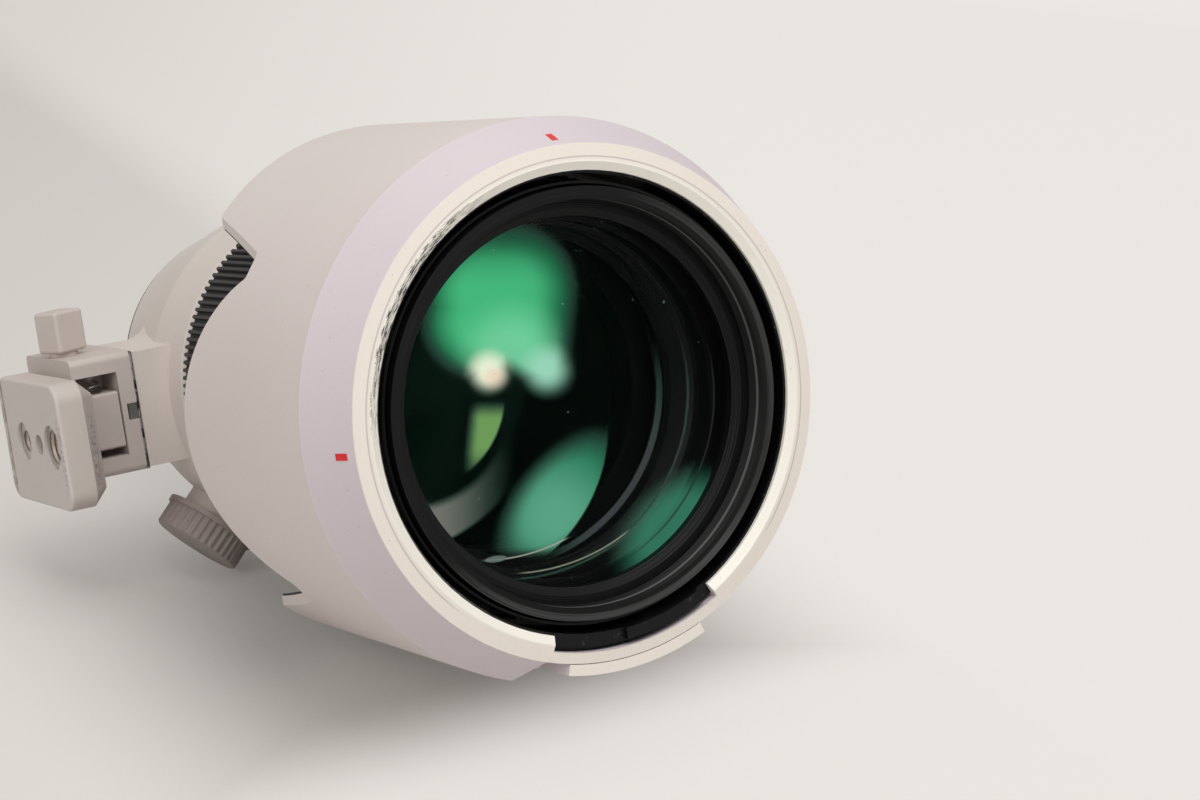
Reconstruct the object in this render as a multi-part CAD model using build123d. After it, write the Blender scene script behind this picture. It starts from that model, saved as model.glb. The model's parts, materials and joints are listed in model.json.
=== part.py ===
from build123d import *
import math
import os

os.makedirs("parts", exist_ok=True)

# A telephoto zoom lens with its lens hood stowed back to front, lying on its side.
# It is modelled standing on its rear mount: Z is the optical axis, z = 0 is the face of
# the mount, +Z looks to the front, +Y is the top of the picture and the tripod foot
# points along -X. The last lines lay it down. All sizes are in millimetres.

# Overall sizes
filter_thread_radius = 38.1
running_gap = 0.08
seat_gap = 0.05
slot_end_relief = 0.05
ring_gap = 0.4
overrun = 1.0

# Hood
hood_wall = 1.5
hood_chamfer_length = 11.9
hood_chamfer_step = 5.25
hood_face_width = 4.95
hood_face_slope = 0.5
hood_bevel_width = 1.6
hood_bevel_depth = 0.9
hood_bore_step = 0.5
hood_throat_length = 22.0
hood_flare_length = 6.0
long_petal_drop = 36.4
long_petal_bow = 5.5
long_petal_base_inset = 12.6
long_petal_tip_inset = 18.4
long_petal_corner = 1.2
side_petal_drop = 20.6
side_petal_round = 32.5
valley_reach = 49.6
valley_round = 1.2
liner_thickness = 0.35
liner_inset = 0.6

# Bayonet ring inside the hood
lug_gap = 0.65
hood_ring_depth = 1.7
hood_ring_wall = 2.6
hood_ring_length = 12.3
hood_tab_depth = 1.1
hood_tab_length = 2.2
hood_tab_play = 0.2
hood_tab_angle = 24.0
hood_tab_count = 4

# Filter window in the hood rim, its sliding door and the recess that the door runs in
notch_angle = 46.0
notch_width = 2.9
notch_depth = 9.5
notch_lean = 1.0
notch_bar = 3.0
notch_bar_sink = 1.5
notch_block_angle = 22.5
notch_block_centre = 282.3
notch_block_width = 2.3
notch_block_sink = 0.6
window_bridge = 3.5
window_sill = 0.5
window_side = 3.0
door_angle = 34.5
door_centre = 272.8
door_thickness = 2.1
door_skirt = 3.1
door_gap = 0.15
door_travel = 38.0
door_play_angle = 6.0

# Index dashes on the hood
dash_length = 2.8
dash_width = 1.3
dash_proud = 0.06
dash_inset = 3.2
dash_angles = (88.5, 180.0)
dash_thickness = 0.3

# Hood release button
button_radius = 5.2
button_proud = 0.8
button_rest = 1.4
button_pocket = 4.6
button_inset = 3.5
button_gap = 0.12
button_spring_wire = 0.35
button_spring_radius = 2.2
button_spring_turns = 3
button_spring_length = 3.0

# Front of the lens
filter_rim_wall = 2.4
filter_rim_step = 1.3
filter_thread_length = 5.0
filter_thread_depth = 0.6
retaining_lip = 1.1
retaining_slope = 1.4
retaining_length = 3.2
front_glass_edge = 5.4
front_glass_bulge = 3.2
front_glass_hollow = 1.4
filter_ledge_width = 3.5
filter_ledge_thickness = 3.9
front_tube_lip = 0.4
front_tube_wall = 4.6
front_tube_flange = 5.0
front_cone_step = 4.5
front_cone_length = 6.4
front_ring_wall = 0.5
front_ring_step = 1.8
front_lug_proud = 0.8
front_lug_length = 2.4
front_lug_station = 7.4
front_lug_angle = 22.0

# Second lens group, fixed behind the front glass
front_cell_length = 10.5
front_cell_gap = 2.7
front_cell_wall = 3.2
second_glass_edge = 6.0
second_glass_bulge = 2.4

# Focusing ring and focusing group
focus_ring_length = 28.0
focus_ring_wall = 1.2
focus_grip_depth = 1.1
focus_rib_count = 100
focus_rib_height = 0.5
grip_border = 1.0
rib_outline_shares = (0.0, 0.16, 0.52, 0.68)
focus_turn = 90.0
focus_travel = 8.0
focus_carriage_length = 16.0
focus_carriage_wall = 5.0
focus_glass_edge = 5.0
focus_glass_bulge = 2.0
focus_pin_inset = 5.2
focus_pin_angles = (20.0, 140.0, 260.0)

# Fixed barrel with the switch panel
panel_barrel_wall = 1.4
panel_cone_length = 7.0
panel_width = 24.0
panel_length = 17.0
panel_height = 3.3
panel_angle = 90.0
panel_plate = 1.2
switch_length = 5.0
switch_width = 3.0
switch_proud = 1.2
switch_travel = 3.6
switch_spacing = 10.0
switch_play = 0.2
switch_floor_lift = 0.9
panel_screw_radius = 0.8
panel_screw_length = 2.6
panel_screw_inset = 2.2

# Zoom ring and cam tube
zoom_ring_inset = 8.0
zoom_ring_wall = 3.1
zoom_grip_depth = 2.8
zoom_rib_count = 144
zoom_rib_height = 0.75
zoom_turn = 72.0
cam_tube_gap = 0.8
cam_tube_wall = 1.4
guide_tube_wall = 1.5
cam_play = 0.3
guide_tube_gap = 2.6
guide_top_gap = 3.6
guide_tube_lead = 14.6
guide_flange = 3.0
zoom_key_width = 4.0
zoom_key_length = 5.0
zoom_key_inset = 13.0
zoom_key_angle = 250.0
key_play = 0.04
key_play_angle = 1.0
key_room = 2.8
follower_pin_radius = 1.4
follower_slot_gap = 0.15
follower_angles = (30.0, 150.0, 270.0)
follower_offset = 60.0
slot_depth = 6.0
pin_seat = 0.02

# Travelling groups in the guide tube
group_gap = 4.0
variator_length = 14.0
variator_travel = 26.0
compensator_length = 12.0
compensator_travel = 12.0
carriage_wall = 5.0
group_glass_edge = 4.0
group_glass_bulge = 1.8

# Iris and stabiliser
iris_length = 9.0
iris_wall = 2.0
iris_shelf = 9.17
blade_count = 7
blade_thickness = 0.25
blade_pitch = 0.55
blade_width = 4.0
blade_sweep = 96.0
blade_ear = 8.0
stabiliser_gap = 2.0
stabiliser_length = 9.6
stabiliser_width = 12.0
stabiliser_rim = 1.6

# Main tube and rear barrel
main_tube_step = 7.3
main_tube_wall = 3.3
main_tube_rear_wall = 1.3
main_tube_seat = 5.0
rear_edge_step = 0.9
rear_cone_step = 2.3
rear_cone_top = 21.2
mount_thickness = 3.0

# Rear group, mount and contacts
mount_face_inset = 1.2
mount_face_width = 8.6
mount_throat_wall = 1.4
mount_throat_length = 5.5
mount_tab_height = 1.8
mount_tab_length = 1.9
mount_tab_angle = 42.0
mount_screw_inset = 3.6
mount_screw_radius = 0.9
mount_screw_head = 1.7
mount_screw_length = 6.5
mount_screw_head_height = 1.2
mount_screw_count = 4
mount_tab_count = 3
mount_dot_radius = 1.1
mount_dot_lift = 2.2
seal_thickness = 0.4
rear_cell_gap = 1.4
rear_cell_wall = 2.6
rear_cell_room = 0.8
rear_cell_base = -2.0
rear_flange_width = 2.6
rear_glass_edge = 4.5
rear_glass_bulge = 1.6
contact_depth = 1.2
contact_angle = 64.0
contact_length = 4.2
contact_sink = 0.3
contact_pin_radius = 0.5
contact_pin_proud = 0.5
contact_count = 8
board_thickness = 1.2
board_lift = 0.6
motor_gap = 0.75
motor_length = 9.5

# Tripod collar
collar_front_wall = 5.42
collar_rear_wall = 2.62
collar_length = 34.6
collar_round = 1.2
collar_cone_length = 16.4
block_half_width = 12.5
block_length = 26.0
block_reach = 7.2
block_flare = 4.5
flare_reach_share = 0.35
flare_across_share = 0.25
rail_height = 2.8
rail_half_width = 7.0
rail_flare = 1.2
rail_root = 0.5
rail_front_gap = 0.4
collar_front_step = 8.4

# Collar lock knob
knob_angle = 225.0
knob_radius = 10.0
knob_stand = 9.6
knob_length = 6.6
knob_rim_chamfer = 0.4
knob_lip = 1.2
knob_lip_step = 0.5
knob_rib_count = 36
knob_rib_depth = 0.35
knob_boss_radius = 7.5
knob_boss_gap = 0.4
knob_screw_radius = 2.5
knob_inset = 15.4

# Tripod foot
foot_reach = 22.0
foot_plate_thickness = 9.0
foot_plate_length = 39.0
foot_plate_width = 27.0
foot_plate_drop = 3.5
foot_plate_lead = 12.2
foot_plate_corner = 4.0
foot_plate_chamfer = 3.2
foot_edge_round = 0.8
stem_length = 29.0
stem_half_width = 13.0
stem_round = 1.5
stem_gap = 0.1
window_half_height = 9.0
window_rail = 3.7
window_depth = 10.0
groove_width = 1.0
groove_depth = 0.7
groove_inset = 2.2
groove_end = 3.0
quarter_inch_radius = 2.55
three_eighths_radius = 3.97
small_bush_wall = 1.6
large_bush_wall = 0.8
bush_length = 6.5
bush_recess = 0.6
pin_hole_radius = 2.2
pin_hole_depth = 5.0
front_bush_inset = 7.0
bush_spacing = 18.5
pin_hole_share = 0.46
foot_slide_gap = 0.08

# Foot latch, lock knob and release block
latch_size = 3.4
latch_height = 2.6
latch_depth = 6.0
latch_sink = 0.4
lock_knob_side = 7.6
lock_knob_height = 9.0
lock_knob_turn = 20.0
lock_knob_round = 0.8
lock_knob_lift = 0.9
lock_shaft_radius = 3.0
lock_shaft_depth = 3.6
lock_knob_reach = 10.0
lock_knob_inset = 13.8
release_height = 12.1
release_depth = 8.4
release_low_gap = 1.8
release_side_gap = 0.3
release_sink = 0.4
release_round = 0.6
release_pocket = 2.0
release_spring_radius = 1.6
release_spring_wire = 0.4
release_spring_turns = 4

# Stations along the optical axis, worked out from the mount to the front rim
main_tube_base = mount_thickness + main_tube_seat
stabiliser_base = main_tube_base + board_lift + board_thickness + stabiliser_gap
rear_cell_top = stabiliser_base - rear_cell_room
guide_tube_base = stabiliser_base + stabiliser_length + guide_tube_gap
iris_base = guide_tube_base + guide_flange
compensator_station = iris_base + iris_length + group_gap
compensator_end = compensator_station + compensator_length + compensator_travel
variator_station = compensator_end + group_gap + variator_travel
guide_tube_top = variator_station + variator_length + guide_top_gap
main_tube_top = guide_tube_top - guide_tube_lead
focus_carriage_station = guide_tube_top + ring_gap
focus_carriage_end = focus_carriage_station + focus_carriage_length + focus_travel
front_tube_top_z = focus_carriage_end + front_cell_gap + front_cell_length
glass_seat_z = front_tube_top_z + filter_ledge_thickness
retaining_base_z = glass_seat_z + front_glass_edge
retaining_top_z = retaining_base_z + retaining_length
filter_rim_z = retaining_top_z + filter_thread_length
flange_to_rim = filter_rim_z + filter_rim_step
focus_pin_z = focus_carriage_station + focus_carriage_length / 2
variator_pin_z = variator_station + variator_length / 2
compensator_pin_z = compensator_station + compensator_length / 2
collar_base_z = rear_cone_top + ring_gap
collar_top_z = collar_base_z + collar_length
zoom_ring_base_z = collar_top_z + ring_gap
zoom_ring_top_z = main_tube_top - zoom_ring_inset
zoom_key_station = main_tube_top - zoom_key_inset
panel_base_z = zoom_ring_top_z + ring_gap
focus_ring_base_z = focus_pin_z - focus_pin_inset
panel_top_z = focus_ring_base_z - ring_gap
focus_ring_top_z = focus_ring_base_z + focus_ring_length
front_ring_base_z = focus_ring_top_z + ring_gap
front_lug_z = filter_rim_z - front_lug_station
block_top_z = collar_top_z - collar_front_step
block_base_z = block_top_z - block_length
stem_base_z = block_top_z - stem_length
foot_plate_front = block_top_z + foot_plate_lead
lock_knob_station = block_top_z - lock_knob_inset
knob_station = collar_base_z + knob_inset
mount_dot_z = mount_thickness + mount_dot_lift

# Stations of the stowed hood, worked out from the front rim
petal_valley_z = flange_to_rim - valley_reach
petal_tip_z = petal_valley_z - long_petal_drop
hood_shoulder_z = flange_to_rim - hood_face_slope - hood_chamfer_length
hood_throat_z = flange_to_rim - hood_throat_length
hood_flare_z = hood_throat_z - hood_flare_length
hood_ring_top_z = flange_to_rim - hood_ring_depth
notch_floor_z = flange_to_rim - notch_depth
button_z = hood_throat_z + button_inset

# Radii from the filter thread inwards, then outwards to the hood and the foot
filter_rim_radius = filter_thread_radius + filter_rim_wall
glass_bore = filter_thread_radius - filter_thread_depth
filter_ledge_radius = glass_bore - filter_ledge_width
front_tube_radius = filter_rim_radius + front_tube_lip
front_tube_bore = front_tube_radius - front_tube_wall
main_tube_bore = front_tube_bore - main_tube_step
main_tube_radius = main_tube_bore + main_tube_wall
main_tube_rear_radius = main_tube_bore + main_tube_rear_wall
front_cone_radius = main_tube_radius + front_cone_step
cam_tube_radius = main_tube_bore - cam_tube_gap
guide_tube_radius = cam_tube_radius - cam_tube_wall - running_gap
guide_tube_bore = guide_tube_radius - guide_tube_wall
motor_radius = (front_tube_bore - cam_tube_radius) / 2 - motor_gap
zoom_sleeve_bore = main_tube_radius + running_gap
zoom_sleeve_radius = zoom_sleeve_bore + zoom_ring_wall
zoom_grip_radius = zoom_sleeve_radius + zoom_grip_depth
focus_sleeve_bore = front_tube_radius + running_gap
focus_sleeve_radius = focus_sleeve_bore + focus_ring_wall
focus_grip_radius = focus_sleeve_radius + focus_grip_depth
panel_face_radius = front_tube_radius + panel_height
switch_floor = front_tube_radius + switch_floor_lift
front_ring_radius = front_tube_radius + seat_gap + front_ring_wall
hood_ring_bore = front_ring_radius + front_lug_proud + lug_gap
hood_ring_radius = hood_ring_bore + hood_ring_wall
hood_throat_bore = hood_ring_radius + seat_gap
hood_bore_radius = hood_ring_bore + hood_bore_step
hood_bevel_radius = hood_bore_radius + hood_bevel_width
hood_rim_radius = hood_bore_radius + hood_face_width
hood_radius = hood_rim_radius + hood_chamfer_step
hood_skirt_bore = hood_radius - hood_wall
notch_radius = hood_bore_radius + notch_width
button_floor = hood_radius - button_pocket
rear_cone_radius = main_tube_radius + rear_cone_step
collar_bore = main_tube_radius + running_gap
collar_front_radius = collar_bore + collar_front_wall
collar_rear_radius = collar_bore + collar_rear_wall
block_face = collar_front_radius + block_reach
foot_face = block_face + foot_reach
lock_knob_axis = block_face + lock_knob_reach
knob_reach = collar_front_radius + knob_stand
knob_base = knob_reach - knob_length
pin_slot_width = 2 * (follower_pin_radius + follower_slot_gap)

# Radii of the mount and of the rear group inside it
rear_edge_radius = main_tube_rear_radius + rear_edge_step
mount_radius = rear_edge_radius - mount_face_inset
mount_bore = mount_radius - mount_face_width
mount_throat_radius = mount_bore + mount_throat_wall
mount_tab_radius = mount_throat_radius + mount_tab_height
mount_screw_circle = mount_radius - mount_screw_inset
stabiliser_bore = main_tube_bore - stabiliser_width
rear_cell_radius = mount_bore - rear_cell_gap

nodes = {}


def turned(*points):
    """Solid of revolution from an outline of (radius, z) points."""
    with BuildPart() as made:
        with BuildSketch(Plane.XZ):
            with BuildLine():
                Polyline(*points, close=True)
            make_face()
        revolve(axis=Axis.Z)
    return made.part


def ring(outer, inner, low, high):
    """Plain tube between two heights."""
    return turned((inner, low), (outer, low), (outer, high), (inner, high))


def sector(outer, inner, low, high, centre, width):
    """Piece of a tube that covers part of a turn."""
    with BuildPart() as made:
        with BuildSketch(Plane.XZ):
            with BuildLine():
                Polyline((inner, low), (outer, low), (outer, high), (inner, high), close=True)
            make_face()
        revolve(axis=Axis.Z, revolution_arc=width)
    return Rot(0, 0, centre - width / 2) * made.part


def outward(angle, reach, station):
    """Place whose Z points out of the lens and whose X points to the front."""
    side = (math.cos(math.radians(angle)), math.sin(math.radians(angle)), 0)
    origin = (reach * side[0], reach * side[1], station)
    return Plane(origin=origin, x_dir=(0, 0, 1), z_dir=side).location


def bar(radius, length):
    """Round bar that stands on z = 0."""
    return Cylinder(radius, length, align=(Align.CENTER, Align.CENTER, Align.MIN))


def outward_bar(angle, radius, start, end, station):
    """Round bar that points out of the lens between two distances from the axis."""
    return outward(angle, start, station) * bar(radius, end - start)


def block(x_low, x_high, y_low, y_high, z_low, z_high):
    """Plain block between two corners."""
    shape = Box(x_high - x_low, y_high - y_low, z_high - z_low, align=(Align.MIN,) * 3)
    return Pos(x_low, y_low, z_low) * shape


def around(count, shape):
    """Copies of a shape at even steps of a turn."""
    return [Rot(0, 0, 360.0 * i / count) * shape for i in range(count)]


def fused(shapes):
    """One shape from several."""
    whole = shapes[0]
    for shape in shapes[1:]:
        whole += shape
    return whole


def glass(radius, low, edge, front_bulge, rear_bulge):
    """Lens element: a straight rim between two spherical faces, each bulging out at the axis."""
    with BuildPart() as made:
        with BuildSketch(Plane.XZ):
            with BuildLine():
                front = face_line(radius, low + edge, front_bulge)
                rear = face_line(radius, low, -rear_bulge)
                Line(front @ 1, rear @ 1)
                Line(rear @ 0, front @ 0)
            make_face()
        revolve(axis=Axis.Z)
    return made.part


def face_line(radius, height, rise):
    """Half of a spherical face: from the axis, where it rises, out to the rim."""
    ball = (radius ** 2 + rise ** 2) / (2 * rise)
    half_angle = math.asin(radius / ball) / 2
    middle = (ball * math.sin(half_angle), height + rise - ball * (1 - math.cos(half_angle)))
    return ThreePointArc((0, height + rise), middle, (radius, height))


def face_height(radius, rise, reach):
    """Height of a spherical face above its rim at some distance from the axis."""
    ball = (radius ** 2 + rise ** 2) / (2 * rise)
    return math.sqrt(ball ** 2 - reach ** 2) - math.sqrt(ball ** 2 - radius ** 2)


def ribbed_sleeve(bore, base, tip, count, low, high):
    """Rubber sleeve with straight ribs along the axis."""
    pitch = 2 * math.pi / count
    corners = []
    for i in range(count):
        for share, reach in zip(rib_outline_shares, (base, tip, tip, base)):
            angle = (i + share) * pitch
            corners.append((reach * math.cos(angle), reach * math.sin(angle)))
    with BuildPart() as made:
        with BuildSketch(Plane.XY.offset(low)):
            with BuildLine():
                Polyline(*corners, close=True)
            make_face()
            Circle(bore, mode=Mode.SUBTRACT)
        extrude(amount=high - low)
    return made.part


def spring(name, radius, wire, length, turns):
    """Round wire wound in one steady helix between z = 0 and its length."""
    pitch = (length - wire) / turns
    path = Helix(pitch=pitch, height=length - wire, radius=radius)
    section = Plane(path @ 0, z_dir=path % 0) * Circle(wire / 2)
    print(name, "least gap between turns", round(least_turn_gap(radius, wire, pitch), 2), "mm")
    return Pos(0, 0, wire / 2) * sweep(section, path=path, is_frenet=True)


def least_turn_gap(radius, wire, pitch):
    """Least gap from a point on a spring's wire to the points of its next turn."""
    steps = 144
    gaps = []
    for i in range(steps // 2, steps + steps // 2):
        angle = 2 * math.pi * i / steps
        point = Vector(radius * math.cos(angle), radius * math.sin(angle), pitch * i / steps)
        gaps.append((point - Vector(radius, 0, 0)).length - wire)
    return min(gaps)


def climbing_slot(radius, depth, width, low, rise, turn):
    """Cutter for a round-ended slot that climbs steadily round a tube from angle zero."""
    path = Helix(pitch=rise * 360.0 / abs(turn), height=rise, radius=radius, lefthand=turn < 0)
    section = Plane(path @ 0, x_dir=(1, 0, 0), z_dir=path % 0) * Rectangle(depth, width)
    end = Pos(radius, 0, 0) * Rot(0, 90, 0) * Cylinder(width / 2 + slot_end_relief, depth)
    cutter = sweep(section, path=path, is_frenet=True) + end + Pos(0, 0, rise) * Rot(0, 0, turn) * end
    return Pos(0, 0, low) * cutter


def straight_slot(radius, depth, width, low, high, angle):
    """Cutter for a round-ended slot along the axis."""
    half = width / 2
    middle = block(radius - depth / 2, radius + depth / 2, -half, half, low, high)
    end = Pos(radius, 0, 0) * Rot(0, 90, 0) * Cylinder(half, depth)
    return Rot(0, 0, angle) * (middle + Pos(0, 0, low) * end + Pos(0, 0, high) * end)


def corners_at(across, height):
    """Corners of the sketch on both sides, by its own two axes."""
    return [v for v in vertices() if abs(abs(v.X) - across) < seat_gap and abs(v.Y - height) < seat_gap]


def petal_keeper(lift):
    """Everything that the scalloped edge of the hood leaves standing, raised by a lift."""
    valley = petal_valley_z
    far = hood_radius + overrun
    above = flange_to_rim + overrun
    shoulder = petal_tip_z + long_petal_bow
    base_half = hood_radius - long_petal_base_inset
    tip_half = hood_radius - long_petal_tip_inset
    arch_half = math.sqrt(side_petal_round ** 2 - (side_petal_round - side_petal_drop) ** 2)
    with BuildPart() as long_petals:
        with BuildSketch(Plane.XZ):
            with BuildLine():
                Polyline((-tip_half, shoulder), (-base_half, valley), (-far, valley), (-far, above),
                         (far, above), (far, valley), (base_half, valley), (tip_half, shoulder))
                ThreePointArc((-tip_half, shoulder), (0, petal_tip_z), (tip_half, shoulder))
            make_face()
            fillet(corners_at(tip_half, shoulder), long_petal_corner)
            fillet(corners_at(base_half, valley), valley_round)
        extrude(amount=far, both=True)
    with BuildPart() as side_petals:
        with BuildSketch(Plane.YZ):
            with BuildLine():
                Polyline((-arch_half, valley), (-far, valley), (-far, above), (far, above),
                         (far, valley), (arch_half, valley))
                ThreePointArc((-arch_half, valley), (0, valley - side_petal_drop), (arch_half, valley))
            make_face()
            fillet(corners_at(arch_half, valley), valley_round)
        extrude(amount=far, both=True)
    return Pos(0, 0, lift) * (long_petals.part + side_petals.part)


def hood_shell():
    """Moulded shell: chamfered rim, thick throat for the bayonet, thin scalloped skirt."""
    shell = turned(
        (hood_bore_radius, flange_to_rim - hood_bevel_depth),
        (hood_bevel_radius, flange_to_rim),
        (hood_rim_radius, flange_to_rim - hood_face_slope),
        (hood_radius, hood_shoulder_z),
        (hood_radius, petal_tip_z - overrun),
        (hood_skirt_bore, petal_tip_z - overrun),
        (hood_skirt_bore, hood_flare_z),
        (hood_throat_bore, hood_throat_z),
        (hood_throat_bore, hood_ring_top_z + seat_gap),
        (hood_bore_radius, hood_ring_top_z + seat_gap),
    )
    shell &= petal_keeper(0)
    above = flange_to_rim + overrun
    shell -= sector(notch_radius, hood_bore_radius - overrun, notch_floor_z, above,
                    door_centre + notch_lean, notch_angle)
    shell -= door_track(above)
    shell -= sector(hood_radius, notch_radius - overrun, notch_floor_z + window_sill,
                    flange_to_rim - window_bridge, door_centre, door_angle - 2 * window_side)
    shell -= outward_bar(0, button_radius + button_gap, button_floor, hood_radius + overrun, button_z)
    for angle in dash_angles:
        shell -= dash(angle, -dash_proud)
    return shell


def door_track(above):
    """Cutter for the recess that the filter door slides round in, sloped out at its rear end."""
    far = hood_radius + overrun
    start = door_centre - door_angle / 2 - door_play_angle
    with BuildPart() as track:
        with BuildSketch(Plane.XZ):
            with BuildLine():
                Polyline((hood_rim_radius, hood_throat_z), (hood_rim_radius, above), (far, above),
                         (far, hood_flare_z), (hood_radius, hood_flare_z), close=True)
            make_face()
        revolve(axis=Axis.Z, revolution_arc=door_angle + door_travel + 2 * door_play_angle)
    return Rot(0, 0, start) * track.part


def dash(angle, sink):
    """Painted dash on the chamfer, raised or sunk by a hair."""
    slope = math.degrees(math.atan2(hood_radius - hood_rim_radius, hood_chamfer_length))
    station = flange_to_rim - hood_face_slope - dash_inset
    reach = hood_rim_radius + dash_inset * math.tan(math.radians(slope))
    plate = Box(dash_length, dash_width, dash_thickness)
    return outward(angle, reach, station) * Rot(0, slope, 0) * Pos(0, 0, -sink - dash_thickness / 2) * plate


def hood_parts():
    """Hood, its bayonet ring, flocked liner, index dashes, release button and filter door."""
    nodes["hood_shell"] = hood_shell()
    liner_radius = hood_skirt_bore - seat_gap
    liner = ring(liner_radius, liner_radius - liner_thickness, petal_tip_z - overrun, hood_flare_z)
    nodes["hood_liner"] = liner & petal_keeper(liner_inset)

    bayonet = ring(hood_ring_radius, hood_ring_bore, hood_ring_top_z - hood_ring_length, hood_ring_top_z)
    tab_top = front_lug_z - front_lug_length / 2 - hood_tab_play
    for tab in around(hood_tab_count, sector(hood_ring_bore + seat_gap, hood_ring_bore - hood_tab_depth,
                                             tab_top - hood_tab_length, tab_top, 45, hood_tab_angle)):
        bayonet += tab
    bar_z = hood_ring_top_z - notch_bar
    notch_middle = door_centre + notch_lean
    bayonet -= sector(hood_ring_radius + overrun, hood_ring_bore + hood_tab_depth, notch_floor_z, bar_z,
                      notch_middle, notch_angle)
    bayonet += sector(notch_radius - seat_gap, hood_ring_bore, bar_z, hood_ring_top_z - notch_bar_sink,
                      notch_middle, notch_angle - door_gap)
    bayonet += sector(hood_ring_bore + notch_block_width, hood_ring_bore, bar_z,
                      flange_to_rim - notch_block_sink, notch_block_centre, notch_block_angle)
    nodes["hood_bayonet_ring"] = bayonet

    nodes["hood_index_dashes"] = [dash(angle, -dash_proud) & dash_keeper() for angle in dash_angles]

    button = outward_bar(0, button_radius, button_floor + button_rest, hood_radius + button_proud, button_z)
    button -= outward_bar(0, button_spring_radius + button_spring_wire, button_floor,
                          button_floor + button_spring_length, button_z)
    nodes["hood_release_button"] = button
    coil = spring("hood button spring", button_spring_radius, button_spring_wire, button_spring_length,
                  button_spring_turns)
    nodes["hood_button_spring"] = outward(0, button_floor, button_z) * coil

    door_bore = hood_rim_radius + door_gap
    nodes["hood_window_door"] = sector(door_bore + door_thickness, door_bore, hood_shoulder_z - door_skirt,
                                       flange_to_rim - hood_face_slope, door_centre, door_angle)


def dash_keeper():
    """Space outside the hood's bore, so that a dash stays in the wall."""
    return ring(hood_radius + overrun, hood_bore_radius, petal_tip_z, flange_to_rim)


def front_parts():
    """Filter ring, front glass, its retaining ring, the outer ring with lugs and the second group."""
    glass_radius = glass_bore - running_gap
    filter_ring = turned(
        (glass_bore, glass_seat_z),
        (glass_bore, retaining_top_z),
        (filter_thread_radius, retaining_top_z),
        (filter_thread_radius, filter_rim_z),
        (filter_rim_radius, filter_rim_z),
        (filter_rim_radius, front_tube_top_z + seat_gap),
        (filter_ledge_radius, front_tube_top_z + seat_gap),
        (filter_ledge_radius, glass_seat_z),
    )
    nodes["filter_ring"] = filter_ring
    lip = glass_radius - retaining_lip
    nodes["front_retaining_ring"] = turned(
        (glass_radius, retaining_base_z),
        (glass_radius, retaining_top_z),
        (lip, retaining_top_z),
        (lip - retaining_slope, retaining_top_z - retaining_slope),
        (lip - retaining_slope, retaining_base_z),
    )
    under_ring = face_height(glass_radius, front_glass_bulge, lip - retaining_slope)
    nodes["front_element"] = glass(glass_radius, glass_seat_z + seat_gap,
                                   front_glass_edge - under_ring - 2 * seat_gap,
                                   front_glass_bulge, -front_glass_hollow)

    ring_inner = front_tube_radius + seat_gap
    outer = ring(front_ring_radius, ring_inner, front_ring_base_z, filter_rim_z - front_ring_step)
    for lug in around(hood_tab_count, sector(front_ring_radius + front_lug_proud, ring_inner,
                                             front_lug_z - front_lug_length / 2,
                                             front_lug_z + front_lug_length / 2, 45, front_lug_angle)):
        outer += lug
    nodes["front_ring"] = outer

    cell_outer = front_tube_bore - seat_gap
    cell_bore = cell_outer - front_cell_wall
    cell_base = front_tube_top_z - front_cell_length
    step = front_cell_wall / 2
    nodes["front_cell"] = turned(
        (cell_bore - step, cell_base), (cell_outer, cell_base), (cell_outer, front_tube_top_z),
        (cell_bore, front_tube_top_z), (cell_bore, cell_base + step), (cell_bore - step, cell_base + step),
    )
    nodes["second_element"] = glass(cell_bore - seat_gap, cell_base + step + seat_gap, second_glass_edge,
                                    second_glass_bulge, -second_glass_bulge / 2)


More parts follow.
